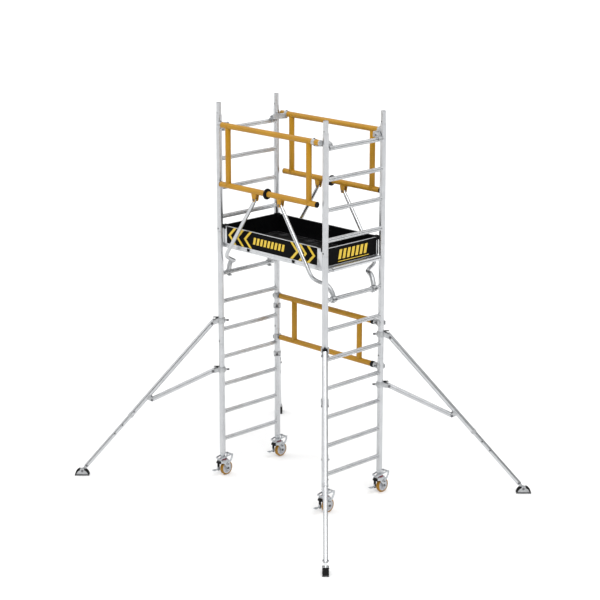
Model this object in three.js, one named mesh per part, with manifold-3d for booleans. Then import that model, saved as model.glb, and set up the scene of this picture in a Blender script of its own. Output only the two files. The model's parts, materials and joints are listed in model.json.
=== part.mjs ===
// A mobile tower scaffold: two stacks of welded ladder frames on castors, joined by a hooked-on
// platform with toe boards, guard rails with bracing struts, and four telescopic outriggers.
// Millimetres, +Z up. X runs along the platform, Y across it, the origin is on the floor at the centre.
import * as THREE from "three";
import { mergeVertices } from "three/addons/utils/BufferGeometryUtils.js";
import Module from "manifold-3d";

const wasm = await Module();
wasm.setup();

// ---------------------------------------------------------------- driving dimensions
const GAP = 0.3; // clearance between pieces that touch
const TUBE_SIDES = 12; // the large tubes are prisms, all turned the same way
const PIN_SIDES = 8;

const POST_X = 628; // half the distance between the two ladder sides
const POST_Y = 335; // half the distance between the two posts of a ladder side
const POST_RADIUS = 25.4;
const POST_BORE = 22.4; // radius
const RUNG_RADIUS = 18.5;
const RUNG_PITCH = 250;
const RUNGS_PER_FRAME = 4;
const FIRST_RUNG = 125; // lowest rung above the foot of its frame
const FRAME_HEIGHT = 1000;
const FRAME_BASE = 214; // foot of the lowest frame above the floor
const FRAME_LEVELS = ["lower", "middle", "upper"];
const SPIGOT_RADIUS = 21.3;
const SPIGOT_LENGTH = 105; // above the post that it stands in
const SPIGOT_SEAT = 60; // inside that post

const WHEEL_RADIUS = 62.5;
const WHEEL_WIDTH = 32;
const CASTOR_TRAIL = 38; // from the swivel axis to the axle
const HEAD_TOP = 150; // top of the castor's head plate
const STEM_TOP = 312;
const LEVER_PIVOT = [30, 104]; // y and z of the brake lever's pivot

const DECK_TOP = 2120;
const DECK_THICKNESS = 10;
const DECK_HALF_LENGTH = 571;
const DECK_HALF_WIDTH = 285;
const BEAM_BOTTOM = 2075;
const BEAM_TOP = 2116;
const HATCH = { x0: -520, x1: -20, y0: -230, y1: 230 };
const HATCH_CLEARANCE = 2;
const BOARD_TOP = 2270;

const RAIL_Y = 385; // the upper guard rails stand just outside the posts
const RAIL_TOP = 3145;
const RAIL_LOW = 2640;
const RAIL_RADIUS = 24;
const RAIL_UPRIGHT_X = 476;
const RAIL_UPRIGHT_RADIUS = 24;
const RAIL_SHIFT = 13.5; // of its uprights and hinges, away from the middle
const RAIL_ENDS = { top: [-560, 620], low: [-560, 587] };
const STRUT_HINGE = [150, 2571]; // x and z of the hinge pin under the lower rail
const STRUT_RADIUS = 16;
const CLAW_Y = 238; // the struts' claws, along the rung from the tower's middle
const LOW_RAIL_TOP = 1520;
const LOW_RAIL_BOTTOM = 1140;
const LOW_RAIL_UPRIGHT_X = [-408, 380];

const UPPER_COUPLER_Z = 1425;
const LOWER_COUPLER_Z = 980;
const LEG_TOP = [78, 1400]; // distance from the post's axis, and height
const FOOT_PIVOT = [1242, 42.5];
const BRACE_TOP = [75, 968];
const OUTER_RADIUS = 22;
const OUTER_BORE = 19.6;
const INNER_RADIUS = 19;
const INNER_BORE = 16;
const BRACE_RADIUS = 21;
const BRACE_BORE = 18.5;
const OUTER_LENGTH = 1122; // from the hinge pin to the open end
const INNER_START = 640; // hidden end of the inner tube, from the hinge pin
const BRACE_BRACKET = [876, -48.5]; // along the leg, and off its axis

const CORNERS = [
  { name: "front_left", x: -1, y: -1 },
  { name: "back_left", x: -1, y: 1 },
  { name: "front_right", x: 1, y: -1 },
  { name: "back_right", x: 1, y: 1 },
];

// ---------------------------------------------------------------- materials
const finish = (color, roughness, metalness) => ({ color, roughness, metalness });
const ALUMINIUM = finish(0xcdd0d3, 0.38, 0.9);
const GALVANISED = finish(0xb0b5b8, 0.45, 0.85);
const AMBER_PAINT = finish(0xc88f28, 0.42, 0.1);
const AMBER_TYRE = finish(0xb07a22, 0.5, 0);
const BLACK_DECK = finish(0x1d1d1e, 0.7, 0);
const BLACK_RUBBER = finish(0x161616, 0.8, 0);

// ---------------------------------------------------------------- solids
const toSolid = (geometry) => {
  const bare = geometry.clone();
  bare.deleteAttribute("normal");
  bare.deleteAttribute("uv");
  const merged = mergeVertices(bare, 1e-4);
  return new wasm.Manifold(
    new wasm.Mesh({
      numProp: 3,
      vertProperties: merged.attributes.position.array,
      triVerts: new Uint32Array(merged.index.array),
    }),
  );
};

const toGeometry = (solid) => {
  const { vertProperties, triVerts } = solid.getMesh();
  const geometry = new THREE.BufferGeometry()
    .setAttribute("position", new THREE.BufferAttribute(vertProperties, 3))
    .setIndex(new THREE.BufferAttribute(triVerts, 1));
  geometry.computeVertexNormals();
  return geometry;
};

const join = (...solids) => solids.reduce((whole, piece) => whole.add(piece));
const cut = (body, ...tools) => tools.reduce((rest, tool) => rest.subtract(tool), body);
const both = (make) => [-1, 1].map(make);

// A round bar between two points.
function rod(from, to, radius, sides = TUBE_SIDES) {
  const [a, b] = [new THREE.Vector3(...from), new THREE.Vector3(...to)];
  const along = b.clone().sub(a);
  const turn = new THREE.Quaternion().setFromUnitVectors(
    new THREE.Vector3(0, 1, 0),
    along.clone().normalize(),
  );
  const geometry = new THREE.CylinderGeometry(radius, radius, along.length(), sides)
    .applyQuaternion(turn)
    .translate(...a.add(b).multiplyScalar(0.5).toArray());
  return toSolid(geometry);
}

const pipe = (from, to, radius, bore, sides) =>
  cut(rod(from, to, radius, sides), rod(past(to, from), past(from, to), bore, sides));

// The point a little beyond `to`, coming from `from`.
function past(from, to, distance = 1) {
  const b = new THREE.Vector3(...to);
  return b.add(b.clone().sub(new THREE.Vector3(...from)).setLength(distance)).toArray();
}

function block([x0, x1], [y0, y1], [z0, z1]) {
  const [wide, deep, high] = [x0, y0, z0].map((low, i) => Math.abs([x1, y1, z1][i] - low));
  const geometry = new THREE.BoxGeometry(wide, deep, high);
  return toSolid(geometry.translate((x0 + x1) / 2, (y0 + y1) / 2, (z0 + z1) / 2));
}

// An outline in the plane across Y (drawn in x, z) or across X (drawn in y, z), with its thickness.
const AXES_ACROSS = {
  x: [new THREE.Vector3(0, 1, 0), new THREE.Vector3(0, 0, 1), new THREE.Vector3(1, 0, 0)],
  y: [new THREE.Vector3(1, 0, 0), new THREE.Vector3(0, 0, 1), new THREE.Vector3(0, -1, 0)],
};
function slab(shape, across, low, high) {
  const geometry = new THREE.ExtrudeGeometry(shape, {
    depth: Math.abs(high - low),
    bevelEnabled: false,
    curveSegments: 5,
  });
  geometry.applyMatrix4(new THREE.Matrix4().makeBasis(...AXES_ACROSS[across]));
  const start = across === "y" ? Math.max(low, high) : Math.min(low, high);
  return toSolid(across === "y" ? geometry.translate(0, start, 0) : geometry.translate(start, 0, 0));
}

const outline = (points) => new THREE.Shape(points.map(([a, b]) => new THREE.Vector2(a, b)));
const degrees = (angle) => THREE.MathUtils.degToRad(angle);

// A ring sector, from one angle round to the other, anticlockwise in degrees.
function openRing([cx, cy], inner, outer, from, to) {
  const shape = new THREE.Shape();
  shape.absarc(cx, cy, outer, degrees(from), degrees(to), false);
  shape.absarc(cx, cy, inner, degrees(to), degrees(from), true);
  shape.closePath();
  return shape;
}

// A plate that runs from a straight edge to a round end about [x, z].
function lug(edgeX, [edgeLow, edgeHigh], [x, z], radius) {
  const shape = new THREE.Shape();
  shape.moveTo(edgeX, edgeLow);
  shape.lineTo(x, z - radius);
  shape.absarc(x, z, radius, -Math.PI / 2, Math.PI / 2, false);
  shape.lineTo(edgeX, edgeHigh);
  shape.closePath();
  return shape;
}

function piece(name, solid, look) {
  const mesh = new THREE.Mesh(toGeometry(solid), new THREE.MeshStandardMaterial(look));
  mesh.name = name;
  return mesh;
}

// ---------------------------------------------------------------- ladder frames
function ladderFrame() {
  const rungs = Array.from({ length: RUNGS_PER_FRAME }, (_, i) => {
    const z = FIRST_RUNG + i * RUNG_PITCH;
    return rod([0, -POST_Y, z], [0, POST_Y, z], RUNG_RADIUS, 8);
  });
  const posts = both((side) => {
    const y = side * POST_Y;
    return rod([0, y, 0], [0, y, FRAME_HEIGHT - GAP], POST_RADIUS);
  });
  const bores = both((side) => {
    const y = side * POST_Y;
    return rod([0, y, -1], [0, y, FRAME_HEIGHT], POST_BORE);
  });
  const spigots = both((side) => {
    const y = side * POST_Y;
    const seat = FRAME_HEIGHT - SPIGOT_SEAT;
    return join(
      rod([0, y, seat], [0, y, FRAME_HEIGHT - 10], POST_BORE + 0.6),
      rod([0, y, seat], [0, y, FRAME_HEIGHT + SPIGOT_LENGTH], SPIGOT_RADIUS),
    );
  });
  return join(cut(join(...posts, ...rungs), ...bores), ...spigots);
}

function ladderSides() {
  const group = new THREE.Group();
  const frame = ladderFrame();
  for (const [side, x] of [["left", -POST_X], ["right", POST_X]]) {
    FRAME_LEVELS.forEach((level, i) => {
      const mesh = piece(`ladder_frame_${side}_${level}`, frame, ALUMINIUM);
      mesh.position.set(x, 0, FRAME_BASE + i * FRAME_HEIGHT);
      group.add(mesh);
    });
  }
  return group;
}

// ---------------------------------------------------------------- castors (origin under the post)
function castorStem() {
  return join(
    rod([0, 0, HEAD_TOP + GAP], [0, 0, STEM_TOP], SPIGOT_RADIUS),
    rod([0, 0, FRAME_BASE - 9], [0, 0, FRAME_BASE - GAP], POST_RADIUS),
  );
}

function castorFork() {
  const side = outline([
    [-44, HEAD_TOP], [42, HEAD_TOP], [58, 112], [54, 46], [22, 46], [8, 92], [-16, 118], [-44, 124],
  ]);
  const cheeks = both((s) => slab(side, "x", s * 23, s * 27));
  const [leverY, leverZ] = LEVER_PIVOT;
  const stubs = both((s) => rod([s * 23, leverY, leverZ], [s * 36, leverY, leverZ], 5, PIN_SIDES));
  return join(
    ...cheeks,
    ...stubs,
    block([-27, 27], [-44, 42], [HEAD_TOP - 12, HEAD_TOP]),
    block([-24, 24], [-58, -40], [118, 142]),
    block([-9, 9], [-60, -44], [58, 138]),
    block([-18, 18], [-118, -50], [68, 75]),
    rod([-30, CASTOR_TRAIL, WHEEL_RADIUS], [30, CASTOR_TRAIL, WHEEL_RADIUS], 6, PIN_SIDES),
  );
}

function castorWheel() {
  const half = WHEEL_WIDTH / 2;
  const bore = 6.6;
  const right = [
    [WHEEL_RADIUS, half - 6], [WHEEL_RADIUS - 3, half], [49, half], [44, half - 5], [bore, half - 2],
  ];
  const left = right.map(([r, x]) => [r, -x]).reverse();
  const profile = [...left, ...right, left[0]].map(([r, x]) => new THREE.Vector2(r, x));
  return toSolid(new THREE.LatheGeometry(profile, 22).rotateZ(-Math.PI / 2));
}

// A stirrup round the head: a long curved arm on each side, joined in front and behind.
function castorLever() {
  const [py, pz] = LEVER_PIVOT;
  const arm = outline([
    [-54, 160], [-54, 174], [20, 190], [94, 188], [92, 156], [66, 116], [py + 12, pz - 10],
    [py - 6, pz - 12], [py - 12, pz + 2], [50, 130], [72, 158], [74, 174], [24, 176], [-44, 163],
  ]);
  const arms = both((s) => slab(arm, "x", s * 30, s * 33.5));
  const bars = [
    block([-33, 33], [-54, -47], [160, 173]),
    block([-33, 33], [84, 92], [172, 184]),
  ];
  return cut(join(...arms, ...bars), rod([-40, py, pz], [40, py, pz], 5.6, PIN_SIDES));
}

function castors() {
  const group = new THREE.Group();
  const [stem, fork, wheel, lever] = [castorStem(), castorFork(), castorWheel(), castorLever()];
  for (const corner of CORNERS) {
    const castor = new THREE.Group();
    const wheelMesh = piece(`castor_${corner.name}_wheel`, wheel, AMBER_TYRE);
    wheelMesh.position.set(0, CASTOR_TRAIL, WHEEL_RADIUS);
    castor.add(
      piece(`castor_${corner.name}_stem`, stem, GALVANISED),
      piece(`castor_${corner.name}_fork`, fork, GALVANISED),
      piece(`castor_${corner.name}_brake_lever`, lever, GALVANISED),
      wheelMesh,
    );
    castor.position.set(corner.x * POST_X, corner.y * POST_Y, 0);
    group.add(castor);
  }
  return group;
}

// ---------------------------------------------------------------- outriggers (X points outwards)
const LEG_RUN = FOOT_PIVOT[0] - LEG_TOP[0];
const LEG_DROP = LEG_TOP[1] - FOOT_PIVOT[1];
const LEG_LENGTH = Math.hypot(LEG_RUN, LEG_DROP);
const LEG_ANGLE = Math.atan2(LEG_DROP, LEG_RUN);

// A clamp round the post, with two cheeks and a pin for a tube, a handle on top and a wing bolt behind.
function coupler([pinX, pinZ], cheek, pinRadius) {
  const half = 23;
  const plate = lug(20, [-half, 15], [pinX, pinZ], 16);
  const clamp = join(
    pipe([0, 0, -half], [0, 0, half], 34, POST_RADIUS + 1.2),
    ...both((s) => slab(plate, "y", s * cheek, s * (cheek + 4.4))),
  );
  return join(
    clamp,
    rod([pinX, -cheek - 8, pinZ], [pinX, cheek + 8, pinZ], pinRadius, PIN_SIDES),
    block([27, 72], [-11, 11], [half - 2, half + 6]),
    rod([-30, 0, 0], [-62, 0, 0], 6, PIN_SIDES),
    block([-68, -56], [-24, 24], [-6, 6]),
  );
}

// The leg's tubes are drawn along X from the hinge pin.
function mainTube() {
  const [at, off] = BRACE_BRACKET;
  const ear = outline([[at - 24, -5], [at - 12, off - 8], [at - 5, off - 12], [at + 5, off - 12],
    [at + 12, off - 8], [at + 24, -5]]);
  const tube = join(
    rod([-32, 0, 0], [OUTER_LENGTH, 0, 0], OUTER_RADIUS),
    rod([OUTER_LENGTH - 28, 0, 0], [OUTER_LENGTH, 0, 0], OUTER_RADIUS + 2.5),
    ...both((s) => block([at - 24, at + 24], [s * 17, s * 24], [-14, -4])),
  );
  return join(
    cut(
      tube,
      rod([-40, 0, 0], [OUTER_LENGTH + 5, 0, 0], OUTER_BORE),
      rod([0, -30, 0], [0, 30, 0], 6.8, PIN_SIDES),
    ),
    ...both((s) => slab(ear, "y", s * (BRACE_RADIUS + 0.8), s * (BRACE_RADIUS + 5))),
    rod([at, -28, off], [at, 28, off], 4.8, PIN_SIDES),
  );
}

function innerTube() {
  const end = LEG_LENGTH - 50;
  return cut(
    join(
      pipe([INNER_START, 0, 0], [end, 0, 0], INNER_RADIUS, INNER_BORE),
      rod([end - 30, 0, 0], [end, 0, 0], INNER_BORE + 1),
      block([end - 10, LEG_LENGTH], [-8, 8], [-12, 12]),
      rod([LEG_LENGTH, -8, 0], [LEG_LENGTH, 8, 0], 12),
    ),
    rod([LEG_LENGTH, -12, 0], [LEG_LENGTH, 12, 0], 6.8, PIN_SIDES),
  );
}

// A half-moon shoe, drawn about the foot of its pivot, with a slot for the leg's tongue.
function foot() {
  const moon = new THREE.Shape();
  moon.moveTo(-62, 0);
  moon.lineTo(66, 0);
  moon.absarc(2, 0, 64, degrees(5), degrees(175), false);
  moon.closePath();
  return join(
    cut(slab(moon, "y", -26, 26), block([-46, 46], [-9, 9], [22, 80])),
    rod([0, -20, FOOT_PIVOT[1]], [0, 20, FOOT_PIVOT[1]], 6, PIN_SIDES),
  );
}

function brace() {
  const [at, off] = BRACE_BRACKET;
  const [cos, sin] = [Math.cos(LEG_ANGLE), Math.sin(LEG_ANGLE)];
  const top = new THREE.Vector3(BRACE_TOP[0], 0, BRACE_TOP[1]);
  const low = new THREE.Vector3(LEG_TOP[0] + at * cos + off * sin, 0, LEG_TOP[1] - at * sin + off * cos);
  const along = low.clone().sub(top).normalize();
  const start = top.clone().addScaledVector(along, -16).toArray();
  const end = low.clone().addScaledVector(along, 8).toArray();
  const holes = [top, low].map((p) => rod([p.x, -25, p.z], [p.x, 25, p.z], 5.8, PIN_SIDES));
  return cut(pipe(start, end, BRACE_RADIUS, BRACE_BORE), ...holes);
}

function outriggers() {
  const group = new THREE.Group();
  const upper = coupler([LEG_TOP[0], LEG_TOP[1] - UPPER_COUPLER_Z], OUTER_RADIUS + 0.6, 6);
  const lower = coupler([BRACE_TOP[0], BRACE_TOP[1] - LOWER_COUPLER_Z], BRACE_RADIUS + 0.6, 5);
  const solids = { main: mainTube(), inner: innerTube(), shoe: foot(), brace: brace() };
  for (const corner of CORNERS) {
    const name = (part) => `outrigger_${corner.name}_${part}`;
    const outrigger = new THREE.Group();
    const upperMesh = piece(name("upper_coupler"), upper, GALVANISED);
    const lowerMesh = piece(name("lower_coupler"), lower, GALVANISED);
    upperMesh.position.z = UPPER_COUPLER_Z;
    lowerMesh.position.z = LOWER_COUPLER_Z;
    const leg = new THREE.Group();
    leg.position.set(LEG_TOP[0], 0, LEG_TOP[1]);
    leg.rotation.y = LEG_ANGLE;
    leg.add(
      piece(name("main_tube"), solids.main, ALUMINIUM),
      piece(name("inner_tube"), solids.inner, ALUMINIUM),
    );
    const shoe = piece(name("foot"), solids.shoe, BLACK_RUBBER);
    shoe.position.x = FOOT_PIVOT[0];
    outrigger.add(upperMesh, lowerMesh, leg, shoe, piece(name("brace"), solids.brace, ALUMINIUM));
    outrigger.position.set(corner.x * POST_X, corner.y * POST_Y, 0);
    outrigger.rotation.z = Math.atan2(corner.y, corner.x);
    group.add(outrigger);
  }
  return group;
}

// ---------------------------------------------------------------- platform
const RUNG_E = FRAME_BASE + 2 * FRAME_HEIGHT - FIRST_RUNG; // the rung that carries the platform

function platformFrame() {
  const endX = POST_X - 27;
  const sides = both((s) =>
    join(
      block([-endX + 1, endX - 1], [s * 286, s * 316], [BEAM_BOTTOM, BEAM_TOP]),
      block([-575, 575], [s * 268, s * 287], [2098, DECK_TOP - DECK_THICKNESS - GAP]),
    ),
  );
  const ends = both((s) =>
    join(
      block([s * 572, s * endX], [-300, 300], [BEAM_BOTTOM, BEAM_TOP]),
      block([s * (endX - 1), s * (endX + 5)], [-262, 292], [BEAM_BOTTOM, 2106]),
      slab(openRing([s * POST_X, RUNG_E], RUNG_RADIUS + 0.8, 25, -5, 185), "y", -262, 292),
    ),
  );
  return join(...sides, ...ends);
}

function fixedDeck() {
  const { x0, x1, y0, y1 } = HATCH;
  const top = [DECK_TOP - DECK_THICKNESS, DECK_TOP];
  const panel = block([-DECK_HALF_LENGTH, DECK_HALF_LENGTH], [-DECK_HALF_WIDTH, DECK_HALF_WIDTH], top);
  const rim = cut(
    block([x0 - 14, x1 + 14], [y0 - 14, y1 + 14], [2098, DECK_TOP - DECK_THICKNESS + 1]),
    block([x0 + 14, x1 - 14], [y0 + 14, y1 - 14], [2090, DECK_TOP]),
    block([x0, x1], [y0, y1], [DECK_TOP - DECK_THICKNESS - GAP, DECK_TOP]),
  );
  return join(cut(panel, block([x0, x1], [y0, y1], [2100, DECK_TOP + 5])), rim);
}

function trapdoor() {
  const { x0, x1, y0, y1 } = HATCH;
  const c = HATCH_CLEARANCE;
  return block([x0 + c, x1 - c], [y0 + c, y1 - c], [DECK_TOP - DECK_THICKNESS, DECK_TOP]);
}

function platform() {
  const group = new THREE.Group();
  const boardZ = [BEAM_TOP + GAP, BOARD_TOP];
  group.add(
    piece("platform_frame", platformFrame(), ALUMINIUM),
    piece("platform_deck", fixedDeck(), BLACK_DECK),
    piece("platform_trapdoor", trapdoor(), BLACK_DECK),
  );
  for (const [side, s] of [["front", -1], ["back", 1]])
    group.add(piece(`toe_board_${side}`, block([-598, 598], [s * 303, s * 325], boardZ), BLACK_DECK));
  for (const [side, s] of [["left", -1], ["right", 1]])
    group.add(piece(`toe_board_${side}`, block([s * 590, s * 610], [-301, 301], boardZ), BLACK_DECK));
  return group;
}

// ---------------------------------------------------------------- guard rails and struts
const RUNG_A = FRAME_BASE + 3 * FRAME_HEIGHT - FIRST_RUNG; // the top rung
const RUNG_F = RUNG_E - RUNG_PITCH; // the rung that the struts' claws hold

// A cast claw at the end of an upper rail: past the inside of the post, and over the top rung.
function railClaw(s, side) {
  const [near, far] = [262, 306]; // along the rung, from the tower's middle
  const arm = outline([
    [538, 380], [566, 380], [599.5, 310], [599.5, near], [578, near], [574, 300],
  ].map(([x, y]) => [s * x, side * y]));
  const depth = 46;
  const cast = new THREE.ExtrudeGeometry(arm, { depth, bevelEnabled: false });
  return join(
    toSolid(cast.translate(0, 0, RAIL_TOP + 7 - depth)),
    block([s * 592, s * 641], [side * near, side * far], [RUNG_A + 23, RAIL_TOP - 5]),
    slab(openRing([s * POST_X, RUNG_A], RUNG_RADIUS + 0.8, 27, -12, 192), "y", side * near, side * far),
  );
}

// Both upper rails are of one kind, longer at one end, and the back one is turned round.
function upperRail(side) {
  const y = side * RAIL_Y;
  const [hingeX, hingeZ] = STRUT_HINGE;
  const bar = ([from, to], z) => rod([-side * from, y, z], [-side * to, y, z], RAIL_RADIUS);
  const bars = [bar(RAIL_ENDS.top, RAIL_TOP), bar(RAIL_ENDS.low, RAIL_LOW)];
  const uprights = both((s) => {
    const x = s * RAIL_UPRIGHT_X - side * RAIL_SHIFT;
    return rod([x, y, RAIL_LOW], [x, y, RAIL_TOP], RAIL_UPRIGHT_RADIUS, 10);
  });
  const brackets = both((s) => {
    const x = s * hingeX - side * RAIL_SHIFT;
    const ear = new THREE.Shape();
    ear.absarc(x, hingeZ, 17, Math.PI, 2 * Math.PI, false);
    ear.lineTo(x + 28, RAIL_LOW - 12);
    ear.lineTo(x - 28, RAIL_LOW - 12);
    ear.closePath();
    const cheeks = both((t) => slab(ear, "y", y + t * (STRUT_RADIUS + 0.6), y + t * (STRUT_RADIUS + 5)));
    return join(...cheeks, rod([x, y - 23, hingeZ], [x, y + 23, hingeZ], 5, PIN_SIDES));
  });
  return join(...bars, ...uprights, ...brackets, ...both((s) => railClaw(s, side)));
}

// A strut from the rail's hinge, straight down beside the platform, then cranked in to its claw.
function strut(s, side) {
  const [hingeX, hingeZ] = STRUT_HINGE;
  const at = (x, y, z) => [s * x, side * y, z];
  const crank = [at(494, 377, 2054), at(512, 370, 2026), at(519, 350, 2006), at(516, 296, 1974),
    at(530, 268, 1962), at(580, 258, 1948), at(626, 240, 1867)];
  const bend = new THREE.CatmullRomCurve3(crank.map((p) => new THREE.Vector3(...p)), false,
    "centripetal");
  const section = new THREE.Shape().absarc(0, 0, STRUT_RADIUS, 0, 2 * Math.PI, false);
  const tube = toSolid(
    new THREE.ExtrudeGeometry(section, { extrudePath: bend, steps: 12, curveSegments: 4 }),
  );
  const hinge = [s * hingeX - side * RAIL_SHIFT, side * RAIL_Y, hingeZ];
  const straight = rod(past(crank[0], hinge, 10), past(hinge, crank[0], 4), STRUT_RADIUS, 10);
  const [from, to] = s > 0 ? [-100, 150] : [30, 280];
  const ring = openRing([s * POST_X, RUNG_F], RUNG_RADIUS + 0.8, 28, from, to);
  return cut(
    join(straight, tube, slab(ring, "y", side * (CLAW_Y - 20), side * (CLAW_Y + 20))),
    rod([hinge[0], hinge[1] - 25, hingeZ], [hinge[0], hinge[1] + 25, hingeZ], 5.8, PIN_SIDES),
  );
}

// A guard rail low at the back, between the posts, with an open cup round each of them.
function lowerRail() {
  const heights = [LOW_RAIL_BOTTOM, LOW_RAIL_TOP];
  const bars = heights.map((z) => rod([-597, POST_Y, z], [597, POST_Y, z], RAIL_RADIUS));
  const uprights = LOW_RAIL_UPRIGHT_X.map((x) =>
    rod([x, POST_Y, LOW_RAIL_BOTTOM], [x, POST_Y, LOW_RAIL_TOP], RAIL_UPRIGHT_RADIUS, 10),
  );
  const cups = heights.flatMap((z) =>
    both((s) => {
      const [from, to] = s > 0 ? [60, 300] : [-120, 120];
      const ring = openRing([0, 0], POST_RADIUS + 0.9, 33, from, to);
      const geometry = new THREE.ExtrudeGeometry(ring, { depth: 52, bevelEnabled: false, curveSegments: 6 });
      return toSolid(geometry.translate(s * POST_X, POST_Y, z - 26));
    }),
  );
  return join(...bars, ...uprights, ...cups);
}

function guardRails() {
  const group = new THREE.Group();
  for (const [side, y] of [["front", -1], ["back", 1]]) {
    group.add(piece(`guard_rail_upper_${side}`, upperRail(y), AMBER_PAINT));
    for (const [end, x] of [["left", -1], ["right", 1]])
      group.add(piece(`strut_${side}_${end}`, strut(x, y), ALUMINIUM));
  }
  group.add(piece("guard_rail_lower_back", lowerRail(), AMBER_PAINT));
  return group;
}

// ---------------------------------------------------------------- the tower
const tower = new THREE.Group();
tower.add(ladderSides(), castors(), outriggers(), platform(), guardRails());

export default tower;
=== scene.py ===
"""The looks of the mobile tower scaffold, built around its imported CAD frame. Metres, +Z up."""

import json
from math import atan2, cos, hypot, pi, radians, sin, sqrt

import bmesh
import bpy
from mathutils import Matrix, Vector


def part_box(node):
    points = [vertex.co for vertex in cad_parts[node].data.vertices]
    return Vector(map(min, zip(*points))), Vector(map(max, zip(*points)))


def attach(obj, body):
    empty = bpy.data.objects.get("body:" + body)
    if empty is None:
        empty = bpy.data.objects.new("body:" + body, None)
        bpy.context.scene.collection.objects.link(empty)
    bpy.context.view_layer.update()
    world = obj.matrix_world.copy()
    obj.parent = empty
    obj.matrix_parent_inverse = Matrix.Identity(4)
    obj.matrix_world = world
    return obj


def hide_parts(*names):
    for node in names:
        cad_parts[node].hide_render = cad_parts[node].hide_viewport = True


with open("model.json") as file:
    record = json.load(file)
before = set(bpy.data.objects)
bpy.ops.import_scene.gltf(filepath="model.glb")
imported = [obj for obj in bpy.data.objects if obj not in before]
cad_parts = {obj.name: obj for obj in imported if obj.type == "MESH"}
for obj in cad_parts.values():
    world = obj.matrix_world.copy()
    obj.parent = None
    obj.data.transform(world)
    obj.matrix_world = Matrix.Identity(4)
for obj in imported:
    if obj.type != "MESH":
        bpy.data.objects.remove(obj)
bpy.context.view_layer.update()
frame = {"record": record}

# ------------------------------------------------------------------ measures taken from the frame
GRAIN = "grain"  # the map that runs u across and v along every surface, in metres
SIDES = {"left": -1, "right": 1}
ROWS = {"front": -1, "back": 1}
LEVELS = ("lower", "middle", "upper")
CORNERS = [(f"{row}_{side}", sx, sy) for row, sy in ROWS.items() for side, sx in SIDES.items()]
JOINTS = {joint["name"]: joint for joint in frame["record"]["behaviour"]["joints"]}

_low, _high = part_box("ladder_frame_right_lower")
POST_R = (_high.x - _low.x) / 2
POST_X = (_high.x + _low.x) / 2
POST_Y = _high.y - POST_R
FEET = {level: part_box(f"ladder_frame_right_{level}")[0].z for level in LEVELS}
FRAME_H = FEET["middle"] - FEET["lower"]
TOP_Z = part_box("ladder_frame_right_upper")[1].z
POST_BORE = 0.0224
RUNG_R = 0.0185
RUNG_FIRST = 0.125
RUNG_PITCH = 0.25
SPIGOT_R = 0.0213
FIT = 0.0006  # play between a clamp or hook and the tube that it holds


def post(sx, sy, z=0.0):
    return Vector((sx * POST_X, sy * POST_Y, z))


def rung_z(level, index):
    return FEET[level] + RUNG_FIRST + index * RUNG_PITCH


# ------------------------------------------------------------------ mesh building
def circle(radius, count):
    return [(radius * cos(2 * pi * k / count), radius * sin(2 * pi * k / count)) for k in range(count)]


def arc(centre, radius, start, end, count):
    """Points on an arc, in degrees, both ends included."""
    angles = [radians(start + (end - start) * k / count) for k in range(count + 1)]
    return [(centre[0] + radius * cos(a), centre[1] + radius * sin(a)) for a in angles]


def band(centre, outer, inner, start, end, count):
    """The outline of a curved strip between two radii."""
    return arc(centre, outer, start, end, count) + arc(centre, inner, end, start, count)


def ends(centre, axis, reach):
    """The two points that lie a reach before and behind a centre along an axis."""
    step = Vector([reach * (name == axis) for name in "xyz"])
    return Vector(centre) - step, Vector(centre) + step


def rectangle(x0, y0, x1, y1):
    return [(x0, y0), (x1, y0), (x1, y1), (x0, y1)]


def mirrored(points, total=0.0, middle=()):
    """Points and then their mirror image, where the second coordinates of each pair add up to total."""
    return [*points, *middle, *((a, total - b) for a, b in reversed(points))]


def side_vectors(direction, up=None):
    """Two unit vectors that make a right-handed set with direction."""
    z = direction.normalized()
    helper = Vector(up) if up else (Vector((0, 0, 1)) if abs(z.z) < 0.9 else Vector((1, 0, 0)))
    x = helper.cross(z)
    if x.length < 1e-6:
        x = Vector((0, 1, 0)).cross(z)
    x.normalize()
    return x, z.cross(x)


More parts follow.
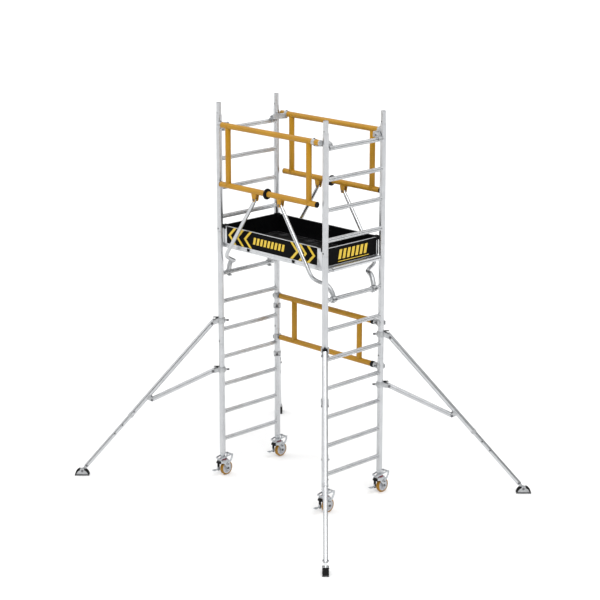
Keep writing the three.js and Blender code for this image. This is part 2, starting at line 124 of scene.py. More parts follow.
class Form:
    """Closed shells collected into one mesh, each with its own stretch of the grain map."""

    def __init__(self):
        self.points, self.faces, self.grain = [], [], []

    def add(self, points, faces, grain):
        """Adds a closed shell and turns it so that its faces point out."""
        volume = 0.0
        for face in faces:
            a = points[face[0]]
            for b, c in zip(face[1:], face[2:]):
                volume += a.dot(points[b].cross(points[c]))
        start = len(self.points)
        self.points += points
        for face, corners in zip(faces, grain):
            if volume < 0:
                face, corners = face[::-1], corners[::-1]
            self.faces.append([start + i for i in face])
            self.grain.append(corners)
        return self

    def skin(self, rings, loop=False):
        """Joins rings of points; open ends are capped flat."""
        count = len(rings[0])
        widest = max(rings, key=lambda ring: (ring[0] - ring[count // 2]).length)
        around, along = [0.0], [0.0]
        for k in range(count):
            around.append(around[-1] + (widest[(k + 1) % count] - widest[k]).length)
        for a, b in zip(rings, rings[1:] + rings[:1]):
            along.append(along[-1] + (a[0] - b[0]).length)
        points = [Vector(p) for ring in rings for p in ring]
        faces, grain = [], []
        for i in range(len(rings) if loop else len(rings) - 1):
            j = (i + 1) % len(rings)
            for k in range(count):
                m = (k + 1) % count
                faces.append([i * count + k, i * count + m, j * count + m, j * count + k])
                grain.append([(around[k], along[i]), (around[k + 1], along[i]),
                              (around[k + 1], along[i + 1]), (around[k], along[i + 1])])
        if not loop:
            for ring, first, turn in ((rings[0], 0, -1), (rings[-1], (len(rings) - 1) * count, 1)):
                x, y = side_vectors((ring[1] - ring[0]).cross(ring[count // 2] - ring[0]))
                order = list(range(count))[::turn]
                faces.append([first + k for k in order])
                grain.append([(ring[k].dot(x), ring[k].dot(y)) for k in order])
        return self.add(points, faces, grain)

    def lathe(self, base, axis, profile, sides=40, loop=False):
        """Turns a profile of (radius, distance along the axis) round an axis through base."""
        base, axis = Vector(base), Vector(axis).normalized()
        x, y = side_vectors(axis)
        rings = [[base + axis * h + x * (r * c) + y * (r * s) for c, s in circle(1, sides)]
                 for r, h in profile]
        return self.skin(rings, loop)

    def tube(self, start, end, radius, bore, edge=0.0008, sides=48):
        """A hollow tube with its rims broken."""
        start, end = Vector(start), Vector(end)
        length = (end - start).length
        profile = [(radius - edge, 0), (radius, edge), (radius, length - edge), (radius - edge, length),
                   (bore + edge / 2, length), (bore, length - edge), (bore, edge), (bore + edge / 2, 0)]
        return self.lathe(start, end - start, profile, sides, loop=True)

    def rod(self, start, end, radius, edge=0.0008, sides=32):
        """A solid bar with rounded rims."""
        start, end = Vector(start), Vector(end)
        length = (end - start).length
        rim = [(radius - edge, 0), (radius - edge * 0.3, edge * 0.3), (radius, edge)]
        return self.lathe(start, end - start, mirrored(rim, length), sides)

    def hexagon(self, start, end, radius):
        """A bolt head or nut: a hexagon with its corners turned off."""
        start, end = Vector(start), Vector(end)
        length = (end - start).length
        rim = [(radius * 0.88, 0), (radius, length * 0.18)]
        return self.lathe(start, end - start, mirrored(rim, length), 6)

    def bolt(self, start, end, radius, head=1.75, tall=0.9):
        """A pin with a washer and hexagon at both ends, along the line from start to end."""
        start, end = Vector(start), Vector(end)
        n = (end - start).normalized()
        self.rod(start, end, radius, sides=20)
        for tip, out in ((start, -n), (end, n)):
            self.rod(tip - out * 0.0005, tip + out * 0.0015, radius * (head + 0.35), 0.0004, 28)
            self.hexagon(tip + out * 0.0015, tip + out * (0.0015 + radius * tall), radius * head)
        self.rod(end, end + n * (0.0015 + radius * (tall + 0.55)), radius * 0.8, sides=16)
        return self

    def sweep(self, path, section, up=None, scales=None, loop=False):
        """Carries a section (across, up) along a path without twisting it."""
        path = [Vector(p) for p in path]
        count = len(path)
        rings, x = [], None
        for i, p in enumerate(path):
            before = path[i - 1] if (i or loop) else p
            after = path[(i + 1) % count] if (i < count - 1 or loop) else p
            direction = (after - before).normalized()
            if x is None:
                x = side_vectors(direction, up)[0]
            x = (x - direction * x.dot(direction)).normalized()
            y = direction.cross(x)
            k = scales[i] if scales else 1.0
            rings.append([p + x * (a * k) + y * (b * k) for a, b in section])
        return self.skin(rings, loop)

    def shaped(self, bm):
        """Takes in a bmesh whose grain is laid on by the way each face looks."""
        bm.normal_update()
        points = [v.co.copy() for v in bm.verts]
        bm.verts.index_update()
        faces, grain = [], []
        for face in bm.faces:
            n = [abs(c) for c in face.normal]
            a, b = ((1, 2), (0, 2), (0, 1))[n.index(max(n))]
            faces.append([v.index for v in face.verts])
            grain.append([(v.co[a], v.co[b]) for v in face.verts])
        bm.free()
        return self.add(points, faces, grain)

    def slab(self, outline, across, low, high, edge=0.001, segments=2):
        """An outline of (first, second) other axes, made solid between low and high along `across`."""
        def place(a, b, c):
            return {"x": (c, a, b), "y": (a, c, b), "z": (a, b, c)}[across]
        low, high = sorted((low, high))
        bm = bmesh.new()
        bottom = [bm.verts.new(place(a, b, low)) for a, b in outline]
        top = [bm.verts.new(place(a, b, high)) for a, b in outline]
        bm.faces.new(bottom)
        bm.faces.new(top[::-1])
        count = len(outline)
        for k in range(count):
            m = (k + 1) % count
            bm.faces.new((bottom[m], bottom[k], top[k], top[m]))
        bmesh.ops.recalc_face_normals(bm, faces=bm.faces)
        if edge:
            sharp = [e for e in bm.edges if e.calc_face_angle(0) > radians(28)]
            bmesh.ops.bevel(bm, geom=sharp, offset=edge, segments=segments, profile=0.5,
                            affect="EDGES", clamp_overlap=True)
        return self.shaped(bm)

    def block(self, low, high, edge=0.001, segments=2):
        """A box with rounded edges."""
        (x0, x1), (y0, y1) = sorted((low[0], high[0])), sorted((low[1], high[1]))
        return self.slab(rectangle(x0, y0, x1, y1), "z", low[2], high[2], edge, segments)

    def moved(self, matrix):
        """The same shells, moved. A mirroring matrix keeps faces pointing out."""
        self.points = [matrix @ p for p in self.points]
        if matrix.determinant() < 0:
            self.faces = [face[::-1] for face in self.faces]
            self.grain = [corners[::-1] for corners in self.grain]
        return self

    def mesh(self, name, smooth_angle=32):
        mesh = bpy.data.meshes.new(name)
        mesh.from_pydata([tuple(p) for p in self.points], [], self.faces)
        layer = mesh.uv_layers.new(name=GRAIN)
        layer.data.foreach_set("uv", [c for corners in self.grain for uv in corners for c in uv])
        mesh.polygons.foreach_set("use_smooth", [True] * len(mesh.polygons))
        mesh.set_sharp_from_angle(angle=radians(smooth_angle))
        mesh.update()
        return mesh


def placed(name, data):
    """A new object in the scene."""
    thing = bpy.data.objects.new(name, data)
    bpy.context.scene.collection.objects.link(thing)
    return thing


def show(name, shape, material, replaces=(), body="tower", at=None, slot=None):
    """Makes a piece of the object from a form or a shared mesh, and ties it to its CAD body."""
    mesh = shape.mesh(name) if isinstance(shape, Form) else shape
    slot = slot or SLOTS[material.name]
    if not mesh.materials:
        mesh.materials.append(material)
    piece = placed(name, mesh)
    if at is not None:
        piece.matrix_world = at
    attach(piece, body)
    if replaces:
        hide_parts(*replaces)
    return piece


def show_set(prefix, node, pieces, at=None):
    """Shows the pieces of one sub-part of the tower, of which the first takes its CAD node's place."""
    for kind, (shape, material) in pieces.items():
        show(f"{prefix}_{kind}", shape, material, [node] if kind == next(iter(pieces)) else (), at=at)


# ------------------------------------------------------------------ materials
class Look:
    """A node material being built round one Principled shader."""

    def __init__(self, name, **constants):
        self.material = bpy.data.materials.new(name)
        self.material.use_nodes = True
        self.tree = self.material.node_tree
        self.shader = self.tree.nodes["Principled BSDF"]
        self.normal = None
        for socket, value in constants.items():
            self.shader.inputs[socket.replace("_", " ")].default_value = value

    def node(self, kind, **inputs):
        node = self.tree.nodes.new("ShaderNode" + kind)
        for socket, value in inputs.items():
            self.feed(node.inputs[socket.replace("_", " ")], value)
        return node

    def feed(self, socket, value):
        if isinstance(value, bpy.types.NodeSocket):
            self.tree.links.new(value, socket)
        else:
            socket.default_value = value

    def grain(self, across=1.0, along=1.0):
        """The grain map, in metres, stretched by a factor each way."""
        source = self.node("UVMap")
        source.uv_map = GRAIN
        return self.node("Mapping", Vector=source.outputs["UV"], Scale=(across, along, 1)).outputs[0]

    def space(self):
        return self.node("TexCoord").outputs["Object"]

    def noise(self, vector, scale, detail=4.0, rough=0.55):
        return self.node("TexNoise", Vector=vector, Scale=scale, Detail=detail,
                         Roughness=rough).outputs["Fac"]

    def cells(self, vector, scale):
        """A colour for each of many small cells."""
        return self.node("TexVoronoi", Vector=vector, Scale=scale).outputs["Color"]

    def level(self, value, low, high, to_low=0.0, to_high=1.0):
        return self.node("MapRange", Value=value, From_Min=low, From_Max=high, To_Min=to_low,
                         To_Max=to_high).outputs[0]

    def math(self, operation, a, b=0.0):
        node = self.node("Math")
        node.operation = operation
        self.feed(node.inputs[0], a)
        self.feed(node.inputs[1], b)
        return node.outputs[0]

    def add(self, a, b):
        return self.math("ADD", a, b)

    def times(self, a, b):
        return self.math("MULTIPLY", a, b)

    def blend(self, factor, a, b):
        node = self.node("Mix")
        node.data_type = "RGBA"
        self.feed(node.inputs["Factor"], factor)
        self.feed(node.inputs[6], a)
        self.feed(node.inputs[7], b)
        return node.outputs[2]

    def relief(self, height, strength, distance):
        node = self.node("Bump", Height=height, Strength=strength, Distance=distance)
        if self.normal is not None:
            self.tree.links.new(self.normal, node.inputs["Normal"])
        self.normal = node.outputs["Normal"]

    def done(self, colour, roughness):
        self.feed(self.shader.inputs["Base Color"], colour)
        self.feed(self.shader.inputs["Roughness"], roughness)
        if self.normal is not None:
            self.tree.links.new(self.normal, self.shader.inputs["Normal"])
        return self.material


def rgb(red, green, blue):
    return (red, green, blue, 1.0)


def drawn_aluminium(name, light, dark, rough=0.27):
    """Extruded tube: die lines along it, a faint mottle, and scuffs from handling."""
    look = Look(name, Metallic=0.97)
    lines = look.noise(look.grain(1400, 3), 1.0, 2.0)
    streaks = look.noise(look.grain(160, 1.2), 1.0, 3.0)
    mottle = look.noise(look.space(), 9.0, 5.0)
    scuffs = look.level(look.noise(look.grain(70, 30), 1.0, 8.0, 0.7), 0.6, 0.74)
    tone = look.add(look.times(streaks, 0.55), look.times(mottle, 0.45))
    colour = look.blend(look.level(tone, 0.35, 0.65), dark, light)
    colour = look.blend(look.times(scuffs, 0.4), colour, rgb(0.4, 0.41, 0.42))
    roughness = look.add(look.level(lines, 0.3, 0.7, rough - 0.05, rough + 0.06), look.times(scuffs, 0.12))
    look.relief(lines, 0.12, 0.0003)
    look.relief(scuffs, 0.1, 0.0003)
    return look.done(colour, roughness)


def cast_metal(name, light, dark, rough=0.45, metallic=0.85, pebble=900.0):
    """Cast or galvanised metal: a fine pebbled skin with cloudy patches and crystal flakes."""
    look = Look(name, Metallic=metallic)
    flakes = look.cells(look.space(), 140.0)
    patches = look.noise(look.space(), 26.0, 6.0, 0.6)
    pebbles = look.noise(look.space(), pebble, 3.0)
    grey = look.node("SeparateColor", Color=flakes).outputs[0]
    tone = look.add(look.times(grey, 0.35), look.times(patches, 0.65))
    colour = look.blend(look.level(tone, 0.25, 0.75), dark, light)
    roughness = look.level(tone, 0.2, 0.8, rough + 0.08, rough - 0.06)
    look.relief(pebbles, 0.3, 0.0003)
    look.relief(patches, 0.12, 0.0008)
    return look.done(colour, roughness)


def powder_coat(name, light, dark):
    """Powder-coated tube: orange peel, slow colour drift, and rubbed and chipped spots."""
    look = Look(name, Metallic=0.0, Coat_Weight=0.1, Coat_Roughness=0.25, Specular_IOR_Level=0.28)
    drift = look.noise(look.space(), 4.0, 4.0)
    peel = look.noise(look.space(), 420.0, 2.0)
    rubs = look.level(look.noise(look.grain(60, 22), 1.0, 9.0, 0.72), 0.63, 0.72)
    chips = look.level(look.noise(look.space(), 160.0, 6.0, 0.7), 0.735, 0.755)
    colour = look.blend(look.level(drift, 0.3, 0.7), dark, light)
    colour = look.blend(look.times(rubs, 0.3), colour, rgb(0.42, 0.25, 0.07))
    colour = look.blend(look.times(chips, 0.7), colour, rgb(0.3, 0.29, 0.28))
    roughness = look.add(look.level(peel, 0.3, 0.7, 0.34, 0.44), look.times(rubs, 0.15))
    look.relief(peel, 0.18, 0.0004)
    look.relief(chips, 0.25, -0.0003)
    return look.done(colour, roughness)


def moulded(name, light, dark, rough=0.6, stipple=700.0, strength=0.25, **constants):
    """Moulded plastic or rubber: a stippled skin with dust and paler rubbed places."""
    look = Look(name, Metallic=0.0, **constants)
    skin = look.noise(look.space(), stipple, 3.0)
    dust = look.noise(look.space(), 30.0, 8.0, 0.65)
    colour = look.blend(look.level(dust, 0.35, 0.75), dark, light)
    roughness = look.level(dust, 0.3, 0.7, rough - 0.07, rough + 0.08)
    look.relief(skin, strength, 0.0003)
    return look.done(colour, roughness)


def phenolic_film(name):
    """Plywood faced with black film, pressed with a wire mesh so that boots grip it."""
    look = Look(name, Metallic=0.0, Specular_IOR_Level=0.16)
    pitch = 2 * pi / 0.007
    u, v = look.node("SeparateXYZ", Vector=look.grain()).outputs[:2]
    waves = []
    for sign in (1, -1):
        line = look.add(look.times(u, pitch), look.times(v, sign * pitch))
        waves.append(look.math("ABSOLUTE", look.math("SINE", line)))
    mesh = look.level(look.math("MINIMUM", *waves), 0.0, 0.35, 1.0, 0.0)
    wear = look.noise(look.space(), 5.0, 8.0, 0.6)
    dust = look.noise(look.space(), 60.0, 6.0, 0.7)
    colour = look.blend(look.level(wear, 0.35, 0.75), rgb(0.003, 0.003, 0.0035), rgb(0.01, 0.01, 0.0105))
    colour = look.blend(look.times(look.level(dust, 0.55, 0.85), 0.25), colour, rgb(0.035, 0.034, 0.033))
    roughness = look.add(look.level(wear, 0.3, 0.7, 0.42, 0.56), look.times(mesh, -0.06))
    look.relief(mesh, 0.55, 0.0005)
    return look.done(colour, roughness)


def weld_metal(name):
    look = Look(name, Metallic=0.9)
    patches = look.noise(look.space(), 120.0, 5.0)
    soot = look.level(look.noise(look.space(), 35.0, 4.0), 0.55, 0.8)
    colour = look.blend(look.level(patches, 0.3, 0.7), rgb(0.52, 0.53, 0.54), rgb(0.72, 0.73, 0.74))
    colour = look.blend(look.times(soot, 0.35), colour, rgb(0.3, 0.29, 0.28))
    look.relief(patches, 0.25, 0.0005)
    return look.done(colour, look.level(patches, 0.3, 0.7, 0.32, 0.48))


ALUMINIUM = drawn_aluminium("aluminium_tube", rgb(0.6, 0.61, 0.625), rgb(0.48, 0.49, 0.505))
ALUMINIUM_RUNG = drawn_aluminium("aluminium_rung", rgb(0.66, 0.67, 0.68), rgb(0.5, 0.51, 0.525), 0.24)
ALUMINIUM_PROFILE = drawn_aluminium("aluminium_profile", rgb(0.66, 0.67, 0.685), rgb(0.54, 0.55, 0.565))
WELD = weld_metal("weld_bead")
CAST = cast_metal("cast_aluminium", rgb(0.56, 0.57, 0.58), rgb(0.4, 0.41, 0.42), 0.46)
ZINC = cast_metal("galvanised_steel", rgb(0.6, 0.62, 0.64), rgb(0.42, 0.44, 0.46), 0.38, 0.9)
BOLT = cast_metal("zinc_bolt", rgb(0.2, 0.2, 0.21), rgb(0.11, 0.11, 0.12), 0.36, 0.9, 1500.0)
AMBER = powder_coat("amber_powder_coat", rgb(0.465, 0.232, 0.006), rgb(0.4, 0.194, 0.005))
BLACK = moulded("black_plastic", rgb(0.009, 0.009, 0.01), rgb(0.004, 0.004, 0.0045), 0.5,
                Specular_IOR_Level=0.14)
RUBBER = moulded("black_rubber", rgb(0.014, 0.014, 0.0145), rgb(0.006, 0.006, 0.0065), 0.78, 420.0, 0.4,
                 Specular_IOR_Level=0.12)
PANEL = moulded("black_panel", rgb(0.0045, 0.0045, 0.005), rgb(0.002, 0.002, 0.0025), 0.5, 1400.0, 0.12,
                Specular_IOR_Level=0.04)
STICKER = moulded("yellow_vinyl", rgb(0.76, 0.53, 0.03), rgb(0.7, 0.47, 0.022), 0.36, 1800.0, 0.05)
TREAD = moulded("amber_polyurethane", rgb(0.37, 0.18, 0.01), rgb(0.27, 0.128, 0.008), 0.42, 260.0, 0.15,
                Specular_IOR_Level=0.25)
HUB = moulded("grey_hub", rgb(0.56, 0.57, 0.6), rgb(0.44, 0.45, 0.48), 0.45, 900.0, 0.2)
RED_CAP = moulded("red_bearing_cap", rgb(0.22, 0.035, 0.055), rgb(0.13, 0.02, 0.035), 0.5)
DECK = phenolic_film("black_phenolic_film")
EDGING = moulded("black_edging", rgb(0.05, 0.05, 0.052), rgb(0.024, 0.024, 0.025), 0.45,
                 Specular_IOR_Level=0.2)
SOLE = moulded("grey_rubber", rgb(0.16, 0.16, 0.165), rgb(0.08, 0.08, 0.084), 0.75, 420.0, 0.4,
               Specular_IOR_Level=0.15)
FOOT_GREY = cast_metal("foot_plate", rgb(0.58, 0.59, 0.6), rgb(0.44, 0.45, 0.46), 0.5, 0.7)
SLOTS = {material.name: slot for slot, materials in {
    "aluminium_tube": (ALUMINIUM, ALUMINIUM_RUNG, ALUMINIUM_PROFILE, WELD),
    "galvanised_steel": (CAST, ZINC, BOLT, RED_CAP, FOOT_GREY),
    "amber_paint": (AMBER,),
    "amber_polyurethane": (TREAD, HUB),
    "black_phenolic": (DECK,),
    "black_panel": (PANEL, STICKER),
    "black_rubber": (BLACK, RUBBER, EDGING, SOLE),
}.items() for material in materials}


# ------------------------------------------------------------------ ladder frames
def weld_ring(form, centre, along, bar_r, post_r, bead=0.0032, steps=64):
    """A fillet weld where a bar meets an upright post. `along` is the bar's direction away from it."""
    along = Vector(along)
    other = along.cross(Vector((0, 0, 1)))
    path, scales = [], []
    for k in range(steps):
        a = 2 * pi * k / steps
        off = bar_r * cos(a)
        reach = sqrt(max(post_r ** 2 - off ** 2, 0.0))
        path.append(centre + other * off + Vector((0, 0, bar_r * sin(a))) + along * reach)
        scales.append(1.0 + 0.12 * sin(9 * a) * cos(7 * a) + 0.06 * sin(31 * a))
    form.sweep(path, circle(bead, 8), scales=scales, loop=True)


def ribbed_section(radius, ribs=30, depth=0.0009):
    """A round bar with fine lengthwise grooves that stop a foot from slipping."""
    points = []
    for k in range(ribs * 4):
        r = radius - (depth if k % 4 in (2, 3) else 0.0)
        a = 2 * pi * k / (ribs * 4)
        points.append((r * cos(a), r * sin(a)))
    return points


def build_ladder_frames():
    section = ribbed_section(RUNG_R)
    looks = {"posts": ALUMINIUM, "rungs": ALUMINIUM_RUNG, "welds": WELD, "spigots": ALUMINIUM}
    smooth = {"rungs": 20, "welds": 60}
    inner = POST_Y - POST_R * 0.72
    shapes, pin_shapes = {}, {}
    for level in LEVELS:
        posts, rungs, welds, spigots, pins = Form(), Form(), Form(), Form(), Form()
        foot = FEET[level]
        head = foot + FRAME_H
        heights = [rung_z(level, index) for index in range(4)]
        for sy in (-1, 1):
            y = sy * POST_Y
            posts.tube((0, y, foot + 0.0002), (0, y, head - 0.0004), POST_R, POST_BORE, 0.0012, 56)
            spigots.tube((0, y, head - 0.06), (0, y, min(head + 0.105, TOP_Z)), SPIGOT_R, 0.0185, 0.0016, 48)
            if level != "lower":
                z = foot + 0.026
                pins.rod(*ends((0, y, z), "y", POST_R + 0.0012), 0.005, 0.001, 20)
                for way in (-1, 1):
                    pins.lathe((0, y + way * (POST_R - 0.002), z), (0, way, 0),
                               [(0.0043, 0), (0.0066, 0), (0.0066, 0.0026), (0.0043, 0.0026)], 24, True)
            if level == "upper":
                z = head + 0.018
                pins.rod(*ends((0, y, z), "y", SPIGOT_R + 0.0006), 0.0055, 0.0006, 20)
            for z in heights:
                weld_ring(welds, Vector((0, y, z)), (0, -sy, 0), RUNG_R, POST_R)
        for z in heights:
            rungs.sweep([(0, -inner, z), (0, inner, z)], section, up=(0, 0, 1))
        shapes[level] = {kind: (form.mesh(f"{kind}_{level}", smooth.get(kind, 32)), looks[kind])
                         for kind, form in zip(looks, (posts, rungs, welds, spigots))}
        if pins.points:
            pin_shapes[level] = pins.mesh(f"lock_pins_{level}")
    for side, sx in SIDES.items():
        at = Matrix.Translation((sx * POST_X, 0, 0))
        for level in LEVELS:
            node = f"ladder_frame_{side}_{level}"
            show_set(node, node, shapes[level], at)
            if level in pin_shapes:
                show(f"{node}_lock_pins", pin_shapes[level], BLACK, at=at, slot="galvanised_steel")


# ------------------------------------------------------------------ castors, drawn about the foot of the post
def build_castors():
    name = "castor_front_left"
    base = post(-1, -1)
    axle = Vector(JOINTS[f"{name}_roll"]["pos_m"]) - base
    pivot = Vector(JOINTS[f"{name}_brake"]["pos_m"]) - base
    head = JOINTS[f"{name}_swivel"]["pos_m"][2]
    low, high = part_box(f"{name}_wheel")
    radius, half = (high.z - low.z) / 2, (high.x - low.x) / 2
    fork_in, fork_out = 0.023, 0.0272  # faces of the fork's cheeks, out from its middle
    arm_in, arm_out = 0.0302, 0.0334  # and of the brake lever's two arms
    spokes = 6

    collar = FEET["lower"] - head - 0.0092
    stem = Form()
    stem.lathe((0, 0, head + 0.0004), (0, 0, 1),
               [(0.019, 0), (SPIGOT_R, 0.0015), (SPIGOT_R, collar), (POST_R - 0.001, collar + 0.0006),
                (POST_R, collar + 0.0016), (POST_R, collar + 0.0072), (POST_R - 0.001, collar + 0.0082),
                (SPIGOT_R, collar + 0.0086), (SPIGOT_R, 0.158), (0.0195, 0.162)], 48)
    for k in range(3):
        stem.lathe((0, 0, head + 0.006 + 0.006 * k), (0, 0, 1),
                   [(SPIGOT_R - 0.001, 0), (SPIGOT_R + 0.0009, 0.0008), (SPIGOT_R + 0.0009, 0.0022),
                    (SPIGOT_R - 0.001, 0.003)], 48, True)

    fork = Form()
    cheek = ([(-0.044, head), (0.039, head), (0.044, head - 0.006), (0.058, 0.112), (0.0565, 0.064)]
             + arc((axle.y, axle.z), 0.0185, 5, -185, 12)
             + [(0.0185, 0.075), (0.008, 0.092), (-0.004, 0.108), (-0.016, 0.118), (-0.044, 0.124)])
    rib = [(-0.036, head - 0.007), (0.034, head - 0.007), (0.052, 0.11), (0.05, 0.09), (0.044, 0.088),
           (0.036, 0.112), (0.018, 0.128), (-0.036, 0.132)]
    for sx in (-1, 1):
        fork.slab(cheek, "x", sx * fork_in, sx * fork_out, edge=0.0012)
        fork.slab(rib, "x", sx * 0.0266, sx * 0.0284, edge=0.0007)
        fork.rod((sx * fork_in, pivot.y, pivot.z), (sx * 0.0362, pivot.y, pivot.z), 0.0052, 0.001, 20)
    plate = mirrored([(-0.04, -fork_out), (-0.044, -fork_in)]) + mirrored([(0.036, fork_out), (0.042, 0.021)])
    fork.slab([(x, y) for y, x in plate], "z", head - 0.005, head, 0.0012)
    fork.lathe((0, 0, head - 0.02), (0, 0, 1), [(0.017, 0), (0.021, 0.002), (0.0225, 0.016)], 40)

    bolt = Form().bolt(*ends(axle, "x", 0.0276), 0.0058)
    for sx in (-1, 1):
        bolt.hexagon((sx * 0.0358, pivot.y, pivot.z), (sx * 0.0392, pivot.y, pivot.z), 0.0072)

    cap = Form()
    cap.lathe((0, 0, head - 0.0002), (0, 0, 1), [(0.0218, 0), (0.0342, 0), (0.035, 0.0015), (0.0336, 0.0048),
              (0.029, 0.0068), (0.0232, 0.0076), (0.0218, 0.0062)], 56, True)

    brake = Form()
    stalk = [(-0.06, 0.058), (-0.06, 0.128), (-0.056, 0.138), (-0.045, 0.138), (-0.045, 0.058)]
    brake.slab(stalk, "x", -0.0088, 0.0088, 0.0022, 3)
    wedge = [(-0.0575, 0.121), (-0.0575, 0.133), (-0.051, 0.1395), (-0.0405, 0.1395), (-0.0405, 0.119),
             (-0.053, 0.1185)]
    brake.slab(wedge, "x", -0.0236, 0.0236, 0.002, 3)
    for k in range(4):
        z = 0.066 + 0.012 * k
        brake.block((-0.0065, -0.0612, z), (0.0065, -0.0596, z + 0.005), 0.0006)

    pedal = Form()
    tongue = [(-0.05, -0.009), (-0.08, -0.009), (-0.09, -0.0175), (-0.1145, -0.0175), (-0.1175, -0.0145)]
    pedal.slab([(x, y) for y, x in mirrored(tongue)], "z", 0.069, 0.073, 0.001)
    for k in range(5):
        y = -0.115 + 0.0044 * k
        pedal.block((-0.015, y, 0.0728), (0.015, y + 0.0018, 0.0744), 0.0005)
    pedal.block((-0.0075, -0.0625, 0.07), (0.0075, -0.059, 0.092), 0.001)

    lever = Form()
    outer = [(-0.0535, 0.1605), (-0.0535, 0.1725), (-0.049, 0.1752), (0.018, 0.1892), (0.055, 0.1902),
             (0.086, 0.1885), (0.0935, 0.1845), (0.0935, 0.176), (0.089, 0.154), (0.077, 0.131),
             (0.06, 0.112)] + arc((pivot.y, pivot.z), 0.0125, -25, -200, 10)
    inner = [(0.026, 0.118), (0.046, 0.129), (0.062, 0.145), (0.0715, 0.16), (0.0725, 0.17),
             (0.066, 0.175), (0.048, 0.1758), (0.022, 0.174), (-0.04, 0.1635)]
    for sx in (-1, 1):
        lever.slab(outer + inner, "x", sx * arm_in, sx * arm_out, edge=0.0009)
    lever.block((-0.0332, -0.0537, 0.1605), (0.0332, -0.0475, 0.1728), 0.0012)
    lever.block((-0.0332, 0.0845, 0.1722), (0.0332, 0.0918, 0.1838), 0.0012)
    for k in range(5):
        x = -0.022 + 0.011 * k
        lever.block((x - 0.002, 0.0913, 0.174), (x + 0.002, 0.0929, 0.1822), 0.0006)

    tread = Form()
    shoulder = [(radius - 0.013, 0.0006), (radius - 0.006, 0.0), (radius - 0.0022, 0.0022),
                (radius - 0.0006, 0.007)]
    tread.lathe((-half, 0, 0), (1, 0, 0),
                mirrored(shoulder, 2 * half, [(radius, half)]) + [(radius - 0.0145, half)], 96, True)
    hub = Form()
    rim = radius - 0.0128
    dish = [(rim, 0.001), (rim - 0.005, 0.0012), (rim - 0.0068, 0.006), (0.024, 0.0095),
            (0.0195, 0.0075), (0.0175, 0.0025), (0.007, 0.0025)]
    hub.lathe((-half, 0, 0), (1, 0, 0), mirrored(dish, 2 * half), 96, True)
    for sx in (-1, 1):
        for k in range(spokes):
            spoke = Form().block((sx * (half - 0.0095), 0.018, -0.0022),
                                 (sx * (half - 0.0035), rim - 0.003, 0.0022), 0.0012)
            spoke.moved(Matrix.Rotation(2 * pi * k / spokes, 4, "X"))
            hub.add(spoke.points, spoke.faces, spoke.grain)
    bearing = Form()
    for sx in (-1, 1):
        bearing.lathe((sx * (half - 0.0026), 0, 0), (sx, 0, 0), [(0.0072, 0), (0.015, 0), (0.015, 0.0022),
                      (0.0135, 0.003), (0.0088, 0.003), (0.0072, 0.0022)], 48, True)

    kinds = {  # piece: (shape, material, body ending, replaced node ending, offset)
        "stem": (stem, ZINC, None, "stem", None),
        "fork": (fork, ZINC, "", "fork", None),
        "axle_bolt": (bolt, BOLT, "", None, None),
        "bearing_cap": (cap, RED_CAP, "", None, None),
        "brake_housing": (brake, BLACK, "", None, None),
        "brake_pedal": (pedal, ZINC, "", None, None),
        "brake_lever": (lever, ZINC, "_lever_body", "brake_lever", None),
        "tread": (tread, TREAD, "_wheel_body", "wheel", axle),
        "hub": (hub, HUB, "_wheel_body", None, axle),
        "bearing": (bearing, BOLT, "_wheel_body", None, axle),
    }
    for kind, (form, material, ending, node, offset) in kinds.items():
        mesh = form.mesh(f"castor_{kind}")
        for corner, sx, sy in CORNERS:
            body = "tower" if ending is None else f"castor_{corner}{ending}"
            at = Matrix.Translation(post(sx, sy) + (offset or Vector()))
            replaced = [f"castor_{corner}_{node}"] if node else ()
            show(f"castor_{corner}_{kind}_look", mesh, material, replaced, body, at)


# ------------------------------------------------------------------ outriggers, drawn with X outwards
LEG_TOP = Vector((0.078, 0, 1.4))
UPPER_Z, LOWER_Z = 1.425, 0.98
BRACE_TOP = Vector((0.075, 0, 0.968))
OUTER_R, OUTER_BORE = 0.022, 0.0196
INNER_R, INNER_BORE = 0.019, 0.016
OUTER_LENGTH = 1.122
INNER_START = 0.64
BRACE_R, BRACE_BORE = 0.021, 0.0185
BRACKET = Vector((0.876, 0, -0.0485))  # the brace's lower pin, measured along the main tube
EAR_GAP, EAR_FACE = 0.0006, 0.0048  # faces of a bracket's ears, out from the tube that they hold
HOLES = (OUTER_LENGTH + 0.102, OUTER_LENGTH + 0.208)  # the inner tube's locking holes, along the leg
# the holes' radius, and that of the black fill in them, which is painted shade
HOLE_R, HOLE_SHADE_R = 0.0064, 0.0062


def drilled(mesh, places, radius):
    """Cuts round holes along Y through a tube that lies along X, at the places given."""
    form = Form()
    for x in places:
        form.rod(*ends((x, 0, 0), "y", 0.03), radius, 0.0001, 24)
    cutter, target = placed("cutter", form.mesh("cutter")), placed("drilled", mesh)
    modifier = target.modifiers.new("drill", "BOOLEAN")
    modifier.operation, modifier.solver, modifier.object = "DIFFERENCE", "EXACT", cutter
    graph = bpy.context.evaluated_depsgraph_get()
    result = bpy.data.meshes.new_from_object(target.evaluated_get(graph), depsgraph=graph)
    result.name = mesh.name
    result.materials.clear()
    for thing in (cutter, target):
        bpy.data.objects.remove(thing)
    result.set_sharp_from_angle(angle=radians(32))
    return result


